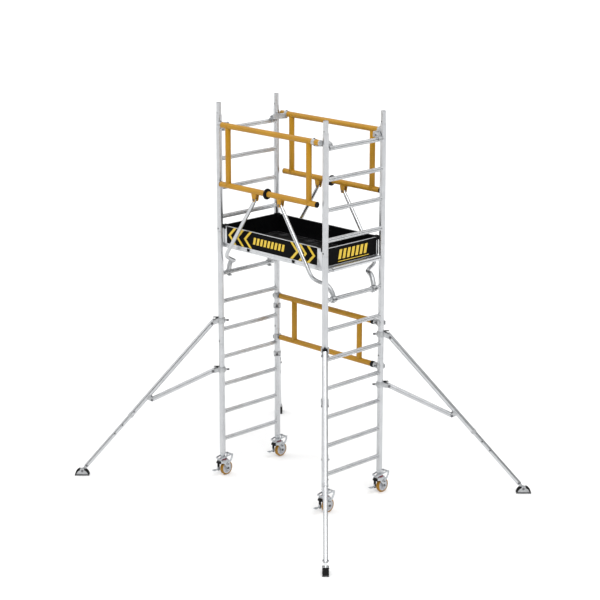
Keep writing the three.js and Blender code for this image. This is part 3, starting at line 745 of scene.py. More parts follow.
def build_coupler(pin, gap):
    """A clamp for a post: split ring, cheeks, cam handle and wing bolt, about its own centre."""
    half, cheek = 0.023, 0.0042
    clamp, handle, hardware = Form(), Form(), Form()
    inner, outer = POST_R + FIT, 0.0335
    for start, end in ((8, 172), (188, 352)):
        clamp.slab(band((0, 0), outer, inner, start, end, 30), "z", -half, half, 0.0016)
    for sy in (-1, 1):  # flanges that the wing bolt pulls together
        clamp.block((-0.044, sy * 0.0018, -0.011), (-0.031, sy * 0.0075, 0.011), 0.0014)
    seat = [(0.026, -0.019), (0.034, -0.019), (0.04, 0.0), (0.034, 0.017), (0.026, 0.017)]
    clamp.slab(seat, "y", -gap - 0.001, gap + 0.001, 0.0012)
    clamp.rod((0.0335, 0, -half - 0.004), (0.0335, 0, half + 0.002), 0.0068, 0.001, 24)
    ear = ([(0.024, -half + 0.002), (pin.x - 0.004, pin.z - 0.0175)]
           + arc((pin.x, pin.z), 0.017, -90, 80, 14) + [(0.04, half - 0.006), (0.024, half - 0.002)])
    for sy in (-1, 1):
        clamp.slab(ear, "y", sy * gap, sy * (gap + cheek), edge=0.0012)
    bar = [(0.0275, -0.0095), (0.036, -0.011), (0.06, -0.0098), (0.0695, -0.0065)]
    handle.slab(mirrored(bar, middle=[(0.0718, 0.0)]), "z", half + 0.001, half + 0.007, 0.0022, 3)
    handle.block((0.0275, -0.0075, -0.006), (0.0355, 0.0075, half + 0.003), 0.0018)
    handle.block((0.0335, 0.001 - gap, -0.0215), (0.041, gap - 0.001, 0.0205), 0.0012)
    handle.rod(*ends((0.0315, 0, half - 0.002), "y", 0.0095), 0.0068, 0.001, 24)
    hardware.bolt(*ends(pin, "y", gap + cheek), 0.0056)
    hardware.rod((-0.03, 0, 0), (-0.0665, 0, 0), 0.0048, 0.0008, 20)
    for k in range(12):
        x = -0.048 - 0.0015 * k
        hardware.lathe((x, 0, 0), (-1, 0, 0), [(0.0046, 0), (0.0053, 0.0004), (0.0046, 0.0008),
                       (0.0042, 0.0004)], 20, True)
    hardware.rod((-0.047, 0, 0), (-0.049, 0, 0), 0.011, 0.0004, 28)
    hardware.lathe((-0.049, 0, 0), (-1, 0, 0), [(0.01, 0), (0.0088, 0.008), (0.006, 0.011)], 28)
    wing = [(-0.0495, 0.006), (-0.05, 0.012), (-0.0555, 0.0215), (-0.062, 0.0245), (-0.0665, 0.0225),
            (-0.0655, 0.017), (-0.0595, 0.011), (-0.0575, 0.006)]
    for sy in (-1, 1):
        hardware.slab([(x, sy * y) for x, y in wing], "z", -0.0024, 0.0024, 0.001)
    return clamp, handle, hardware


def build_outriggers():
    name = "outrigger_front_left"
    start = post(-1, -1)
    pivot = Vector(JOINTS[f"{name}_foot_pivot"]["pos_m"]) - start
    reach = hypot(pivot.x, pivot.y)
    run, drop = reach - LEG_TOP.x, LEG_TOP.z - pivot.z
    length, slope = hypot(run, drop), atan2(drop, run)
    leg = Matrix.Translation(LEG_TOP) @ Matrix.Rotation(slope, 4, "Y")
    slide_end = length - 0.05

    forms = {}  # piece: (mesh, material, body ending, replaced node ending)

    def part(kind, form, material, ending="", node=None, place=leg):
        forms[kind] = (form.moved(place).mesh(kind), material, ending, node)

    for level, pin, gap, z in (("upper", LEG_TOP, OUTER_R + 0.0004, UPPER_Z),
                               ("lower", BRACE_TOP, BRACE_R + 0.0004, LOWER_Z)):
        clamp, handle, hardware = build_coupler(pin - Vector((0, 0, z)), gap)
        lift = Matrix.Translation((0, 0, z))
        part(f"{level}_coupler", clamp, CAST, node=f"{level}_coupler", place=lift)
        part(f"{level}_handle", handle, BLACK, place=lift)
        part(f"{level}_wing_bolt", hardware, BOLT, place=lift)

    outer = Form().tube((-0.032, 0, 0), (OUTER_LENGTH, 0, 0), OUTER_R, OUTER_BORE, 0.001, 56)
    collar = Form().tube((OUTER_LENGTH - 0.026, 0, 0), (OUTER_LENGTH + 0.0012, 0, 0), OUTER_R + 0.0024,
                         INNER_R + 0.0004, 0.0012, 56)
    x = OUTER_LENGTH - 0.06
    button = Form().rod((x, 0, 0), (x, OUTER_R + 0.004, 0), 0.0048, 0.0014, 24)
    button.lathe((x, OUTER_R - 0.0012, 0), (0, 1, 0),
                 [(0.0049, 0), (0.0078, 0), (0.0074, 0.0018), (0.0049, 0.0018)], 28, True)
    ears = Form()
    at, off = BRACKET.x, BRACKET.z
    ear = ([(at - 0.024, -0.0055), (at - 0.0115, off - 0.006)] + arc((at, off), 0.0125, 205, 335, 10)
           + [(at + 0.0115, off - 0.006), (at + 0.024, -0.0055)])
    for sy in (-1, 1):
        ears.slab(ear, "y", sy * (BRACE_R + EAR_GAP), sy * (BRACE_R + EAR_FACE), edge=0.001)
    saddle = band((0, 0), OUTER_R + 0.0022, OUTER_R - 0.0004, 200, 340, 24)
    ears.slab(saddle, "x", at - 0.026, at + 0.026, 0.0006)
    pins = Form().bolt(*ends(BRACKET, "y", BRACE_R + EAR_FACE), 0.0046)
    part("main_tube", outer, ALUMINIUM, node="main_tube")
    part("main_tube_collar", collar, CAST)
    part("lock_button", button, BOLT)
    part("brace_bracket", ears, CAST)
    part("brace_bolt", pins, BOLT)

    inner = Form().tube((INNER_START, 0, 0), (slide_end, 0, 0), INNER_R, INNER_BORE, 0.001, 56)
    inner = drilled(inner.mesh("inner_tube"), HOLES, HOLE_R)
    inner.transform(leg)
    hole_shade = Form()
    for x in HOLES:  # black fill inside the holes, painted shade for the dark inside of the tube; set in a little, so that the tube still slides home
        hole_shade.rod(*ends((x, 0, 0), "y", INNER_R - 0.0006), HOLE_SHADE_R, 0.0002, 24)
    tongue = Form()
    tongue.rod((slide_end - 0.03, 0, 0), (slide_end + 0.0015, 0, 0), INNER_R - 0.0005, 0.0016, 40)
    neck = mirrored([(slide_end - 0.004, -0.0125), (length - 0.008, -0.0118)],
                    middle=arc((length, 0), 0.012, -100, 100, 18))
    tongue.slab(neck, "y", -0.0078, 0.0078, 0.0018, 3)
    tongue_bolt = Form().bolt(*ends((slide_end - 0.014, 0, 0), "y", INNER_R - 0.001), 0.0046)
    # black discs in the locking holes: painted shade
    part("hole_shade_fill", hole_shade, BLACK, "_extension")
    forms["inner_tube"] = (inner, ALUMINIUM, "_extension", "inner_tube")
    part("tongue", tongue, CAST, "_extension")
    part("tongue_bolt", tongue_bolt, BOLT, "_extension")

    low = leg @ BRACKET
    along = (low - BRACE_TOP).normalized()
    brace = Form().tube(BRACE_TOP - along * 0.016, low + along * 0.008, BRACE_R, BRACE_BORE, 0.0012, 56)
    part("brace", brace, ALUMINIUM, node="brace", place=Matrix())

    # the foot, about the point on the floor under its pivot
    plates, shoulders, sole, hinge = Form(), Form(), Form(), Form()
    centre = (0.002, 0)
    moon = [(-0.056, 0.0085), (0.06, 0.0085)] + arc(centre, 0.0605, 10, 170, 36)
    for sy in (-1, 1):
        plates.slab(moon, "y", sy * 0.0098, sy * 0.0205, edge=0.0014)
        for k in range(5):  # ribs that fan out from the pin
            a = radians(30 + 30 * k)
            tip = Vector((0.002 + 0.05 * cos(a), sy * 0.0205, 0.05 * sin(a)))
            root = Vector((0.002 + 0.022 * cos(a), sy * 0.0205, 0.012 + 0.016 * sin(a)))
            plates.sweep([root, tip], circle(0.0018, 10))
    for start, end in ((8, 72), (108, 172)):
        shoulders.slab(band(centre, 0.0635, 0.053, start, end, 20), "y", -0.0255, 0.0255, 0.0024, 3)
    teeth, count, left, right = [], 9, -0.062, 0.066
    pitch = (right - left) / count
    for k in range(count):
        x = left + k * pitch
        teeth += [(x, 0.0042), (x + pitch * 0.18, 0), (x + pitch * 0.72, 0), (x + pitch * 0.9, 0.0042)]
    sole.slab(teeth + [(right, 0.0042), (right, 0.0112), (left, 0.0112)], "y", -0.026, 0.026, 0.0008)
    hinge.bolt(*ends((0, 0, pivot.z), "y", 0.0205), 0.0058, 1.6, 0.7)
    slide = Matrix.Translation((reach, 0, 0))
    part("foot_plates", plates, FOOT_GREY, "_shoe", "foot", slide)
    part("foot_shoulders", shoulders, RUBBER, "_shoe", place=slide)
    part("foot_sole", sole, SOLE, "_shoe", place=slide)
    part("foot_bolt", hinge, BOLT, "_shoe", place=slide)

    for corner, sx, sy in CORNERS:
        at = Matrix.Translation(post(sx, sy)) @ Matrix.Rotation(atan2(sy, sx), 4, "Z")
        owner = f"outrigger_{corner}"
        for kind, (mesh, material, ending, node) in forms.items():
            show(f"{owner}_{kind}_look", mesh, material, [f"{owner}_{node}"] if node else (),
                 owner + ending, at)


# ------------------------------------------------------------------ platform
DECK_LOW, DECK_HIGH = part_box("platform_deck")
DECK_Z = DECK_HIGH.z
BEAM_LOW, BEAM_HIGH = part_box("platform_frame")
BOARD_LOW, BOARD_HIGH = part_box("toe_board_front")
RUNG_E_Z = rung_z("middle", 3)
LEDGE_Z = 2.098  # underside of the ledges that carry the deck sheet


def build_platform():
    beams = Form()
    z0, z1, y_in, y_out = BEAM_LOW.z, BEAM_HIGH.z, 0.286, 0.316
    groove = y_out - 0.0022
    profile = mirrored([(y_in, z0), (y_out - 0.002, z0), (y_out, z0 + 0.002), (y_out, z0 + 0.01),
                        (groove, z0 + 0.0115), (groove, z0 + 0.015), (y_out, z0 + 0.0165)], z0 + z1)
    for sy in (-1, 1):
        beams.slab([(sy * y, z) for y, z in profile], "x", -0.6, 0.6, 0.0006, 1)
        beams.block((-0.575, sy * 0.268, LEDGE_Z), (0.575, sy * 0.287, DECK_LOW.z + 0.0115), 0.0006, 1)
    for sx in (-1, 1):
        beams.block((sx * 0.572, -0.3, z0), (sx * 0.601, 0.3, z1), 0.0015)
        hook = (arc((0, RUNG_E_Z), 0.025, -35, 205, 36)
                + arc((0, RUNG_E_Z), RUNG_R + FIT, 187, -7, 30) + [(0.0205, RUNG_E_Z - 0.012)])
        low, high = -0.262, 0.292
        beams.slab([(sx * POST_X + sx * x, z) for x, z in hook], "y", low, high, 0.0005, 1)
        beams.block((sx * 0.6, low, z0 + 0.001), (sx * 0.6055, high, 2.104), 0.001)
    show("platform_beams", beams, ALUMINIUM_PROFILE, ["platform_frame"])

    # the deck sheet, in one piece with the hatch left open, and what edges the hatch
    hatch_low, hatch_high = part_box("platform_trapdoor")
    gap = 0.002
    x0, x1 = hatch_low.x - gap, hatch_high.x + gap
    y0, y1 = hatch_low.y - gap, hatch_high.y + gap
    sheet = Form()
    bottom = DECK_Z - 0.01
    border = rectangle(*DECK_LOW.xy, *DECK_HIGH.xy)
    hole = rectangle(x0, y0, x1, y1)
    bm = bmesh.new()
    rings = [[bm.verts.new((x, y, z)) for x, y in loop] for z in (bottom, DECK_Z) for loop in (border, hole)]
    for k in range(4):
        m = (k + 1) % 4
        bm.faces.new((rings[2][k], rings[2][m], rings[3][m], rings[3][k]))
        bm.faces.new((rings[0][m], rings[0][k], rings[1][k], rings[1][m]))
        bm.faces.new((rings[0][k], rings[0][m], rings[2][m], rings[2][k]))
        bm.faces.new((rings[1][m], rings[1][k], rings[3][k], rings[3][m]))
    sheet.shaped(bm)
    show("platform_deck_sheet", sheet, DECK, ["platform_deck"])

    rim, lining = Form(), Form()
    rim_w, strip_w = 0.014, 0.01
    rim_top, strip_top = bottom - 0.0002, DECK_Z + 0.0012
    for sx, x in ((1, x0), (-1, x1)):
        rim.block((x - sx * rim_w, y0 - rim_w, LEDGE_Z), (x + sx * rim_w, y1 + rim_w, rim_top), 0.0008, 1)
    for sy, y in ((1, y0), (-1, y1)):
        rim.block((x0 + 0.0145, y - sy * rim_w, LEDGE_Z), (x1 - 0.0145, y + sy * rim_w, rim_top), 0.0008, 1)
        lining.block((x0 - strip_w, y - sy * strip_w, DECK_Z), (x1 + strip_w, y - sy * 0.0006, strip_top),
                     0.0004, 1)
    for sx, x in ((1, x0), (-1, x1)):
        lining.block((x - sx * strip_w, y0 - 0.0005, DECK_Z), (x - sx * 0.0006, y1 + 0.0005, strip_top),
                     0.0004, 1)
    show("platform_hatch_rim", rim, ALUMINIUM_PROFILE)
    show("platform_hatch_lining", lining, EDGING)

    rivets, dome = Form(), [(0.0062, 0), (0.0058, 0.0008), (0.004, 0.0017), (0.0015, 0.0021)]
    across = (-0.18, -0.06, 0.06, 0.18)
    spots = [(-0.55 + 0.11 * k, sy * 0.276) for sy in (-1, 1) for k in range(11)]
    spots += [(x, y) for x in (-0.561, 0.561, 0.02) for y in across]
    for x, y in spots:
        rivets.lathe((x, y, DECK_Z - 0.0002), (0, 0, 1), dome, 20)
    show("platform_rivets", rivets, BOLT)

    door, trim, knob = Form(), Form(), Form()
    door.block(hatch_low, hatch_high, 0.0012)
    a0, a1, b0, b1 = hatch_low.x, hatch_high.x, hatch_low.y, hatch_high.y
    for x in (a0, a1 - strip_w):
        trim.block((x, b0, DECK_Z), (x + strip_w, b1, strip_top), 0.0004, 1)
    trim.block((a0 + 0.0102, b0, DECK_Z), (a1 - 0.0102, b0 + strip_w, strip_top), 0.0004, 1)
    x, y, z = (a0 + a1) / 2, b0 + 0.055, DECK_Z + 0.0035
    pull = arc((x - 0.04, y), 0.018, 90, 270, 14) + arc((x + 0.04, y), 0.018, -90, 90, 14)
    knob.slab(pull, "z", DECK_Z - 0.001, DECK_Z + 0.002, 0.0008)
    knob.sweep([(x - 0.036, y, z), (x + 0.036, y, z)], circle(0.0032, 16))
    axis = JOINTS["trapdoor_hinge"]["pos_m"]
    hinges, knuckle = (a0 + 0.09, a1 - 0.09), 0.0018  # the knuckles turn on the trapdoor's own axis
    back, top = axis[1], DECK_Z + 0.0018
    for x in hinges:
        trim.block((x - 0.03, b1 - 0.04, DECK_Z), (x + 0.03, back - 0.0035, top), 0.0005, 1)
        for start, end in ((-0.03, -0.011), (0.0105, 0.03)):
            trim.rod((x + start, back, axis[2]), (x + end, back, axis[2]), knuckle, 0.0004, 20)
            trim.block((x + start, back - 0.004, DECK_Z), (x + end, back - 0.0003, top - 0.0002), 0.0003, 1)
    show("platform_trapdoor_sheet", door, DECK, ["platform_trapdoor"], "trapdoor")
    show("platform_trapdoor_trim", trim, EDGING, body="trapdoor")
    show("platform_trapdoor_handle", knob, BOLT, body="trapdoor")
    leaves = Form()
    for x in hinges:
        leaves.block((x - 0.03, back + 0.0035, DECK_Z), (x + 0.03, b1 + 0.036, top), 0.0005, 1)
        leaves.rod((x - 0.0105, back, axis[2]), (x + 0.01, back, axis[2]), knuckle, 0.0004, 20)
        leaves.block((x - 0.0105, back + 0.0003, DECK_Z), (x + 0.01, back + 0.004, top - 0.0002),
                     0.0003, 1)
    show("platform_hinge_leaves", leaves, BOLT)


ARROW_TIPS = (0.503, -0.538)  # outermost tips of the arrows on the right and on the left of a board
ARROW_PITCH, ARROW_LEAN, ARROW_BAR, ARROW_HALF = 0.096, 0.07, 0.03, 0.071
STICKER_T = 0.0006


def arrows(form, tip_x, outward, middle, face, out, count=3):
    """Arrow marks side by side on a board that faces along Y, the first with its tip at tip_x."""
    low, high = middle - ARROW_HALF, middle + ARROW_HALF
    for k in range(count):
        x = tip_x - outward * ARROW_PITCH * k
        tail = x - outward * ARROW_LEAN
        bar = outward * ARROW_BAR
        points = [(x, middle), (tail, high), (tail - bar, high), (x - bar, middle), (tail - bar, low),
                  (tail, low)]
        form.slab(points, "y", face, face + out * STICKER_T, edge=0)


def dashes(form, start, end, count, low, high, across, face, out):
    """A row of slanted safety dashes on a board, where a maker would print a name."""
    pitch = (end - start) / count
    for k in range(count):
        a = start + pitch * k
        b = a + pitch * 0.62
        lean = pitch * 0.34
        form.slab([(a, low), (b, low), (b + lean, high), (a + lean, high)], across,
                  face, face + out * STICKER_T, edge=0)


def build_toe_boards():
    z0, z1 = BOARD_LOW.z, BOARD_HIGH.z
    middle, inset, lip = (z0 + z1) / 2, 0.002, 0.006
    for board, across, out in (("front", "y", -1), ("back", "y", 1), ("left", "x", -1), ("right", "x", 1)):
        def place(along, outward, z):
            return (along, outward, z) if across == "y" else (outward, along, z)
        low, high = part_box(f"toe_board_{board}")
        (a0, b0, _), (a1, b1, _) = place(*low), place(*high)
        rim, back = (b0, b1) if out < 0 else (b1, b0)
        face = rim - out * inset
        panel, edging, marks = Form(), Form(), Form()
        panel.block(place(a0, face, z0), place(a1, back, z1 - 0.001), 0.001, 1)
        if across == "y":
            plates, margin = ((a0 - 0.0002, -0.556), (0.527 - 0.0002, a1)), 0.03
            for tip in ARROW_TIPS:
                arrows(marks, tip, 1 if tip > 0 else -1, middle, face, out)
            dashes(marks, -0.235, 0.15, 9, middle - 0.03, middle + 0.03, across, face, out)
        else:
            plates, margin = ((a0, a0 + 0.014), (a1, a1 - 0.014)), 0.012
            dashes(marks, -0.165, 0.185, 7, z0 + 0.039, z0 + 0.119, across, face, out)
            underline = rectangle(-0.165, z0 + 0.018, 0.197, z0 + 0.024)
            marks.slab(underline, across, face, face + out * STICKER_T, edge=0)
        for start, end in plates:
            edging.block(place(start, rim, z0), place(end, rim - out * lip, z1), 0.0009)
        for bottom, top in ((z1 - 0.005, z1), (z0, z0 + 0.004)):
            edging.block(place(a0 + margin, rim, bottom), place(a1 - margin, rim - out * lip, top), 0.0008)
        node = f"toe_board_{board}"
        show_set(node, node, {"panel": (panel, PANEL), "edging": (edging, ALUMINIUM_PROFILE),
                              "marks": (marks, STICKER)})
    clips = Form()
    for _, sx, sy in CORNERS:
        x, y = sx * 0.598, sy * 0.3255
        top = z1 + 0.006
        clips.block((x - sx * 0.03, y + sy * 0.0022, z1 - 0.03), (x, y - sy * 0.024, top), 0.002)
        clips.block((x - sx * 0.002, y - sy * 0.004, z1 - 0.028), (x + sx * 0.0125, y - sy * 0.04, top),
                    0.002)
    show("toe_board_clips", clips, BLACK)
    latches = Form()
    z0, z1 = BEAM_LOW.z, BEAM_HIGH.z
    for x in (-0.3, 0.24):
        for sy in (-1, 1):
            latches.block((x - 0.012, sy * 0.3155, z0 + 0.012), (x + 0.012, sy * 0.3225, z1 - 0.004), 0.0014)
            latches.rod((x, sy * 0.322, z0 + 0.022), (x, sy * 0.327, z0 + 0.022), 0.005, 0.0008, 20)
    show("platform_latches", latches, BLACK)


# ------------------------------------------------------------------ guard rails and struts
RAIL_Y = 0.385
RAIL_TOP, RAIL_LOW = 3.145, 2.64
RAIL_R, RAIL_BORE, UPRIGHT_R = 0.024, 0.021, 0.024
RAIL_SHIFT, COLLAR_SHIFT = 0.0135, 0.007  # off the middle, towards the long end
RAIL_SHORT, RAIL_LONG_TOP, RAIL_LONG_LOW = 0.56, 0.62, 0.587
UPRIGHT_X = 0.476
HINGE_X, HINGE_Z = 0.15, 2.571
STRUT_R = 0.016
CLAW_Y = 0.238
RUNG_A_Z = rung_z("upper", 3)
RUNG_F_Z = rung_z("middle", 2)
LOW_RAIL_Z = (1.14, 1.52)
LOW_UPRIGHT_X = (-0.408, 0.38)
LOW_RAIL_ENDS = {-1: 0.584, 1: 0.548}  # how far its tubes reach to the left and to the right


def tee_weld(form, centre, up, bar_r, main_r):
    """A painted fillet where an upright meets a rail that runs along X."""
    up = Vector(up)
    path, scales = [], []
    for k in range(56):
        a = 2 * pi * k / 56
        off = bar_r * sin(a)
        reach = sqrt(max(main_r ** 2 - off ** 2, 0.0))
        path.append(centre + Vector((bar_r * cos(a), off, 0)) + up * reach)
        scales.append(1.0 + 0.1 * sin(8 * a) * cos(5 * a))
    form.sweep(path, circle(0.003, 8), scales=scales, loop=True)


def upright(form, x, y, low, high):
    """A tube welded in between two rails."""
    form.rod((x, y, low + 0.01), (x, y, high - 0.01), UPRIGHT_R, 0.001, 52)
    tee_weld(form, Vector((x, y, low)), (0, 0, 1), UPRIGHT_R, RAIL_R)
    tee_weld(form, Vector((x, y, high)), (0, 0, -1), UPRIGHT_R, RAIL_R)


def end_cap(form, x, out, y, z):
    """A plug pushed into a tube's end at x."""
    flange = RAIL_R + 0.001
    form.lathe((x - out * 0.006, y, z), (out, 0, 0), [(0.02, -0.004), (0.0205, 0), (flange, 0),
               (flange, 0.003), (RAIL_R - 0.002, 0.0055), (0.012, 0.006)], 48)


def rail_claw(form, bolts, sx, sy):
    """A cast claw: a band on the tube, an arm past the inside of the post, and a hook over the top rung."""
    z, y, near, far = RAIL_TOP, sy * RAIL_Y, 0.2625, 0.3055
    form.lathe((sx * 0.534, y, z), (sx, 0, 0), [(RAIL_R - 0.0004, 0), (RAIL_R + 0.003, 0.001),
               (RAIL_R + 0.003, 0.031), (RAIL_R - 0.0004, 0.032)], 48, True)
    arm = [(0.538, 0.38), (0.552, 0.376), (0.566, 0.374), (0.586, 0.34), (0.5992, 0.31), (0.5992, near),
           (0.578, near), (0.575, 0.285), (0.57, 0.31), (0.556, 0.342)]
    form.slab([(sx * a, sy * b) for a, b in arm], "z", z - 0.0385, z + 0.0065, 0.0035, 3)
    hook = arc((0, RUNG_A_Z), 0.0268, -30, 208, 30) + arc((0, RUNG_A_Z), RUNG_R + FIT, 200, -22, 26)
    form.slab([(sx * POST_X + sx * a, b) for a, b in hook], "y", sy * near, sy * far, edge=0.0014)
    saddle = [(sx * 0.592, RUNG_A_Z + 0.022), (sx * 0.592, z + 0.004), (sx * 0.612, z - 0.003),
              (sx * 0.634, z - 0.014), (sx * 0.64, RUNG_A_Z + 0.024)]
    form.slab(saddle, "y", sy * (near + 0.0005), sy * (far - 0.0005), edge=0.003, segments=3)
    bolts.bolt(*ends((sx * 0.55, y, z), "z", RAIL_R + 0.003), 0.0036)
    x, z = sx * 0.612, z - 0.018
    bolts.hexagon((x, sy * (near + 0.001), z), (x, sy * (near - 0.005), z), 0.008)


def build_upper_rails():
    """Two rails of one kind, longer at one end; the back one is the front one turned round."""
    for row, sy in ROWS.items():
        y, turn = sy * RAIL_Y, -sy
        tubes, claws, bolts, black = Form(), Form(), Form(), Form()
        for z, long_end in ((RAIL_TOP, RAIL_LONG_TOP), (RAIL_LOW, RAIL_LONG_LOW)):
            tubes.tube((-turn * (RAIL_SHORT - 0.005), y, z), (turn * (long_end - 0.005), y, z), RAIL_R,
                       RAIL_BORE, 0.001, 56)
            plug = claws if z == RAIL_TOP else black
            end_cap(plug, -turn * RAIL_SHORT, -turn, y, z)
            end_cap(plug, turn * long_end, turn, y, z)
        for sx in (-1, 1):
            upright(tubes, sx * UPRIGHT_X + turn * RAIL_SHIFT, y, RAIL_LOW, RAIL_TOP)
            rail_claw(claws, bolts, sx, sy)
            hinge = sx * HINGE_X + turn * RAIL_SHIFT
            ear = ([(hinge + dx, RAIL_LOW - 0.01) for dx in (0.03, -0.03)]
                   + arc((hinge, HINGE_Z), 0.0175, 195, 345, 16))
            for way in (-1, 1):
                tubes.slab(ear, "y", y + way * (STRUT_R + 0.0005), y + way * (STRUT_R + EAR_FACE),
                           edge=0.0014)
            saddle = band((y, RAIL_LOW), RAIL_R + 0.0026, RAIL_R - 0.0004, 205, 335, 24)
            tubes.slab(saddle, "x", hinge - 0.03, hinge + 0.03, edge=0.0008)
            bolts.bolt(*ends((hinge, y, HINGE_Z), "y", STRUT_R + EAR_FACE), 0.0046)
        middle = turn * COLLAR_SHIFT
        wheel = mirrored([(RAIL_R - 0.0004, 0), (0.042, 0), (0.0455, 0.002)], 0.012, [(0.046, 0.006)])
        black.lathe((middle - 0.006, y, RAIL_LOW), (1, 0, 0), wheel, 72, True)
        for x in (middle - 0.014, middle + 0.006):
            black.tube((x, y, RAIL_LOW), (x + 0.008, y, RAIL_LOW), RAIL_R + 0.0035, RAIL_R - 0.0003, 0.0012)
        node = f"guard_rail_upper_{row}"
        show_set(node, node, {"tubes": (tubes, AMBER), "claws": (claws, CAST), "bolts": (bolts, BOLT),
                              "black": (black, BLACK)})


def smooth_path(points, steps):
    """A rounded path through points (Catmull-Rom), ending on the first and last."""
    pts = [Vector(p) for p in points]
    ext = [pts[0] * 2 - pts[1]] + pts + [pts[-1] * 2 - pts[-2]]
    path = []
    for i in range(1, len(ext) - 2):
        a, b, c, d = ext[i - 1:i + 3]
        for k in range(steps):
            t = k / steps
            path.append(0.5 * (2 * b + (c - a) * t + (2 * a - 5 * b + 4 * c - d) * t * t
                               + (3 * b - a - 3 * c + d) * t ** 3))
    return path + [pts[-1]]


def build_struts():
    for row, sy in ROWS.items():
        for side, sx in SIDES.items():
            def at(x, y, z):
                return Vector((sx * x, sy * y, z))
            tube, claw, bolts = Form(), Form(), Form()
            crank = [at(0.494, 0.377, 2.054), at(0.512, 0.37, 2.026), at(0.519, 0.35, 2.006),
                     at(0.516, 0.296, 1.974), at(0.53, 0.268, 1.962), at(0.56, 0.261, 1.955)]
            head = Vector((sx * HINGE_X - sy * RAIL_SHIFT, sy * RAIL_Y, HINGE_Z))
            toward = (crank[0] - head).normalized()
            path = [head - toward * 0.013, head, head + toward * 0.03, head + toward * 0.06,
                    head + toward * 0.3] + smooth_path(crank, 6)
            scales = [0.8, 0.8, 0.88] + [1.0] * (len(path) - 3)
            tube.sweep(path, circle(STRUT_R, 44), scales=scales)
            arm = smooth_path([at(0.54, 0.266, 1.959), at(0.572, 0.26, 1.95), at(0.6, 0.251, 1.922),
                               at(0.618, 0.243, 1.89), at(0.627, 0.2395, 1.866)], 6)
            count = len(arm)
            claw.sweep(arm, circle(0.0195, 40), scales=[0.9] + [1.0] * 3 + [1.06] * (count - 5) + [0.98])
            start, end = (-104, 152) if sx > 0 else (28, 284)
            hook_at = (sx * POST_X, RUNG_F_Z)
            ring = arc(hook_at, 0.0275, start, end, 36) + arc(hook_at, RUNG_R + FIT, end, start, 32)
            claw.slab(ring, "y", sy * (CLAW_Y - 0.0195), sy * (CLAW_Y + 0.0195), edge=0.0018)
            near, far = sy * (CLAW_Y - 0.014), sy * (CLAW_Y + 0.014)
            claw.block((sx * 0.606, near, RUNG_F_Z - 0.0345), (sx * 0.63, far, RUNG_F_Z - 0.0205), 0.002)
            bolts.bolt(*ends((sx * 0.656, sy * CLAW_Y, RUNG_F_Z + 0.002), "y", sy * 0.011), 0.0036)
            node = f"strut_{row}_{side}"
            show_set(node, node, {"tube": (tube, ALUMINIUM), "claw": (claw, CAST), "bolt": (bolts, BOLT)})


def build_lower_rail():
    """The rail low at the back, clamped to the posts; only its right end has black sleeves."""
    tubes, cups, sleeves, bolts = Form(), Form(), Form(), Form()
    sleeve = [(RAIL_R - 0.0004, 0), (RAIL_R + 0.003, 0.001), (RAIL_R + 0.003, 0.028),
              (RAIL_R + 0.001, 0.034), (RAIL_R - 0.0004, 0.0345)]
    for z in LOW_RAIL_Z:
        tubes.tube((-LOW_RAIL_ENDS[-1], POST_Y, z), (LOW_RAIL_ENDS[1], POST_Y, z), RAIL_R, RAIL_BORE,
                   0.001, 56)
        sleeves.lathe((LOW_RAIL_ENDS[1] - 0.02, POST_Y, z), (1, 0, 0), sleeve, 48)
        for sx, end in LOW_RAIL_ENDS.items():
            cup = [(RAIL_R - 0.002, 0), (RAIL_R + 0.0015, 0.002), (RAIL_R + 0.0005, 0.596 - end - 0.004)]
            cups.lathe((sx * (end + 0.004), POST_Y, z), (sx, 0, 0), cup, 48)
            cx = sx * POST_X
            start, stop = (62, 298) if sx > 0 else (-118, 118)
            ring = band((cx, POST_Y), 0.0325, POST_R + FIT, start, stop, 40)
            cups.slab(ring, "z", z - 0.026, z + 0.026, 0.0018)
            for sy in (-1, 1):
                cups.block((cx + sx * 0.0105, POST_Y + sy * 0.0265, z - 0.016),
                           (cx + sx * 0.0235, POST_Y + sy * 0.0345, z + 0.016), 0.002)
            bolts.bolt(*ends((sx * 0.585, POST_Y, z), "y", RAIL_R + 0.001), 0.0042)
    for x in LOW_UPRIGHT_X:
        upright(tubes, x, POST_Y, *LOW_RAIL_Z)
    show_set("guard_rail_lower", "guard_rail_lower_back", {
        "tubes": (tubes, AMBER), "cups": (cups, CAST), "sleeves": (sleeves, BLACK), "bolts": (bolts, BOLT)})


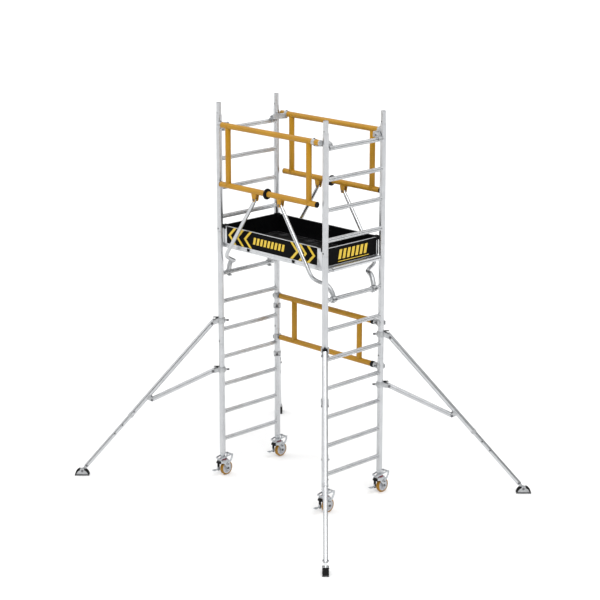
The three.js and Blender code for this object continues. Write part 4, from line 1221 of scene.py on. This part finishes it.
# ------------------------------------------------------------------ floor, light and camera
def build_stage():
    look = Look("pale_floor", Metallic=0.0, Specular_IOR_Level=0.2)
    tint = look.noise(look.space(), 0.8, 5.0)
    shade = look.blend(tint, rgb(0.93, 0.93, 0.93), rgb(0.95, 0.95, 0.95))
    look.done(shade, look.level(tint, 0, 1, 0.7, 0.85))
    half = 120.0
    floor_mesh = bpy.data.meshes.new("floor")
    floor_mesh.from_pydata([(x, y, 0) for x, y in rectangle(-half, -half, half, half)], [], [(0, 1, 2, 3)])
    floor_mesh.materials.append(look.material)
    floor = placed("floor", floor_mesh)

    world = bpy.data.worlds.new("studio")
    bpy.context.scene.world = world
    world.use_nodes = True
    tree = world.node_tree  # a studio's bright ring of lamps between a dim horizon and a dim ceiling
    ramp = tree.nodes.new("ShaderNodeValToRGB")
    height = tree.nodes.new("ShaderNodeSeparateXYZ")
    tree.links.new(tree.nodes.new("ShaderNodeTexCoord").outputs["Generated"], height.inputs[0])
    tree.links.new(height.outputs["Z"], ramp.inputs[0])
    stops = ((0.0, 0.1), (0.27, 0.13), (0.46, 1.0), (0.86, 1.05), (1.0, 0.45))
    for k, (place, value) in enumerate(stops):
        stop = ramp.color_ramp.elements[k] if k < 2 else ramp.color_ramp.elements.new(place)
        stop.position, stop.color = place, rgb(value, value, value)
    tree.links.new(ramp.outputs[0], tree.nodes["Background"].inputs[0])
    tree.nodes["Background"].inputs[1].default_value = 1.15

    for name, direction, strength, angle in (("key", (-0.55, 0.35, -0.8), 1.3, 35),
                                             ("fill", (0.75, 0.55, -0.45), 0.5, 60)):
        light = bpy.data.lights.new(name, "SUN")
        light.energy, light.angle = strength, radians(angle)
        placed(name, light).rotation_euler = Vector(direction).to_track_quat("-Z", "Y").to_euler()
    bpy.context.scene.view_settings.view_transform = "Standard"

    camera = bpy.data.cameras.new("camera")
    camera.lens, camera.sensor_width = 110.78, 36.0
    camera.clip_end = 500.0
    eye, target = Vector((10.7357, -10.6304, 5.833)), Vector((0, 0, 1.6621))
    viewer = placed("camera", camera)
    viewer.location = eye
    viewer.rotation_euler = (target - eye).to_track_quat("-Z", "Y").to_euler()
    bpy.context.scene.camera = viewer


build_stage()
build_ladder_frames()
build_castors()
build_outriggers()
build_platform()
build_toe_boards()
build_upper_rails()
build_struts()
build_lower_rail()
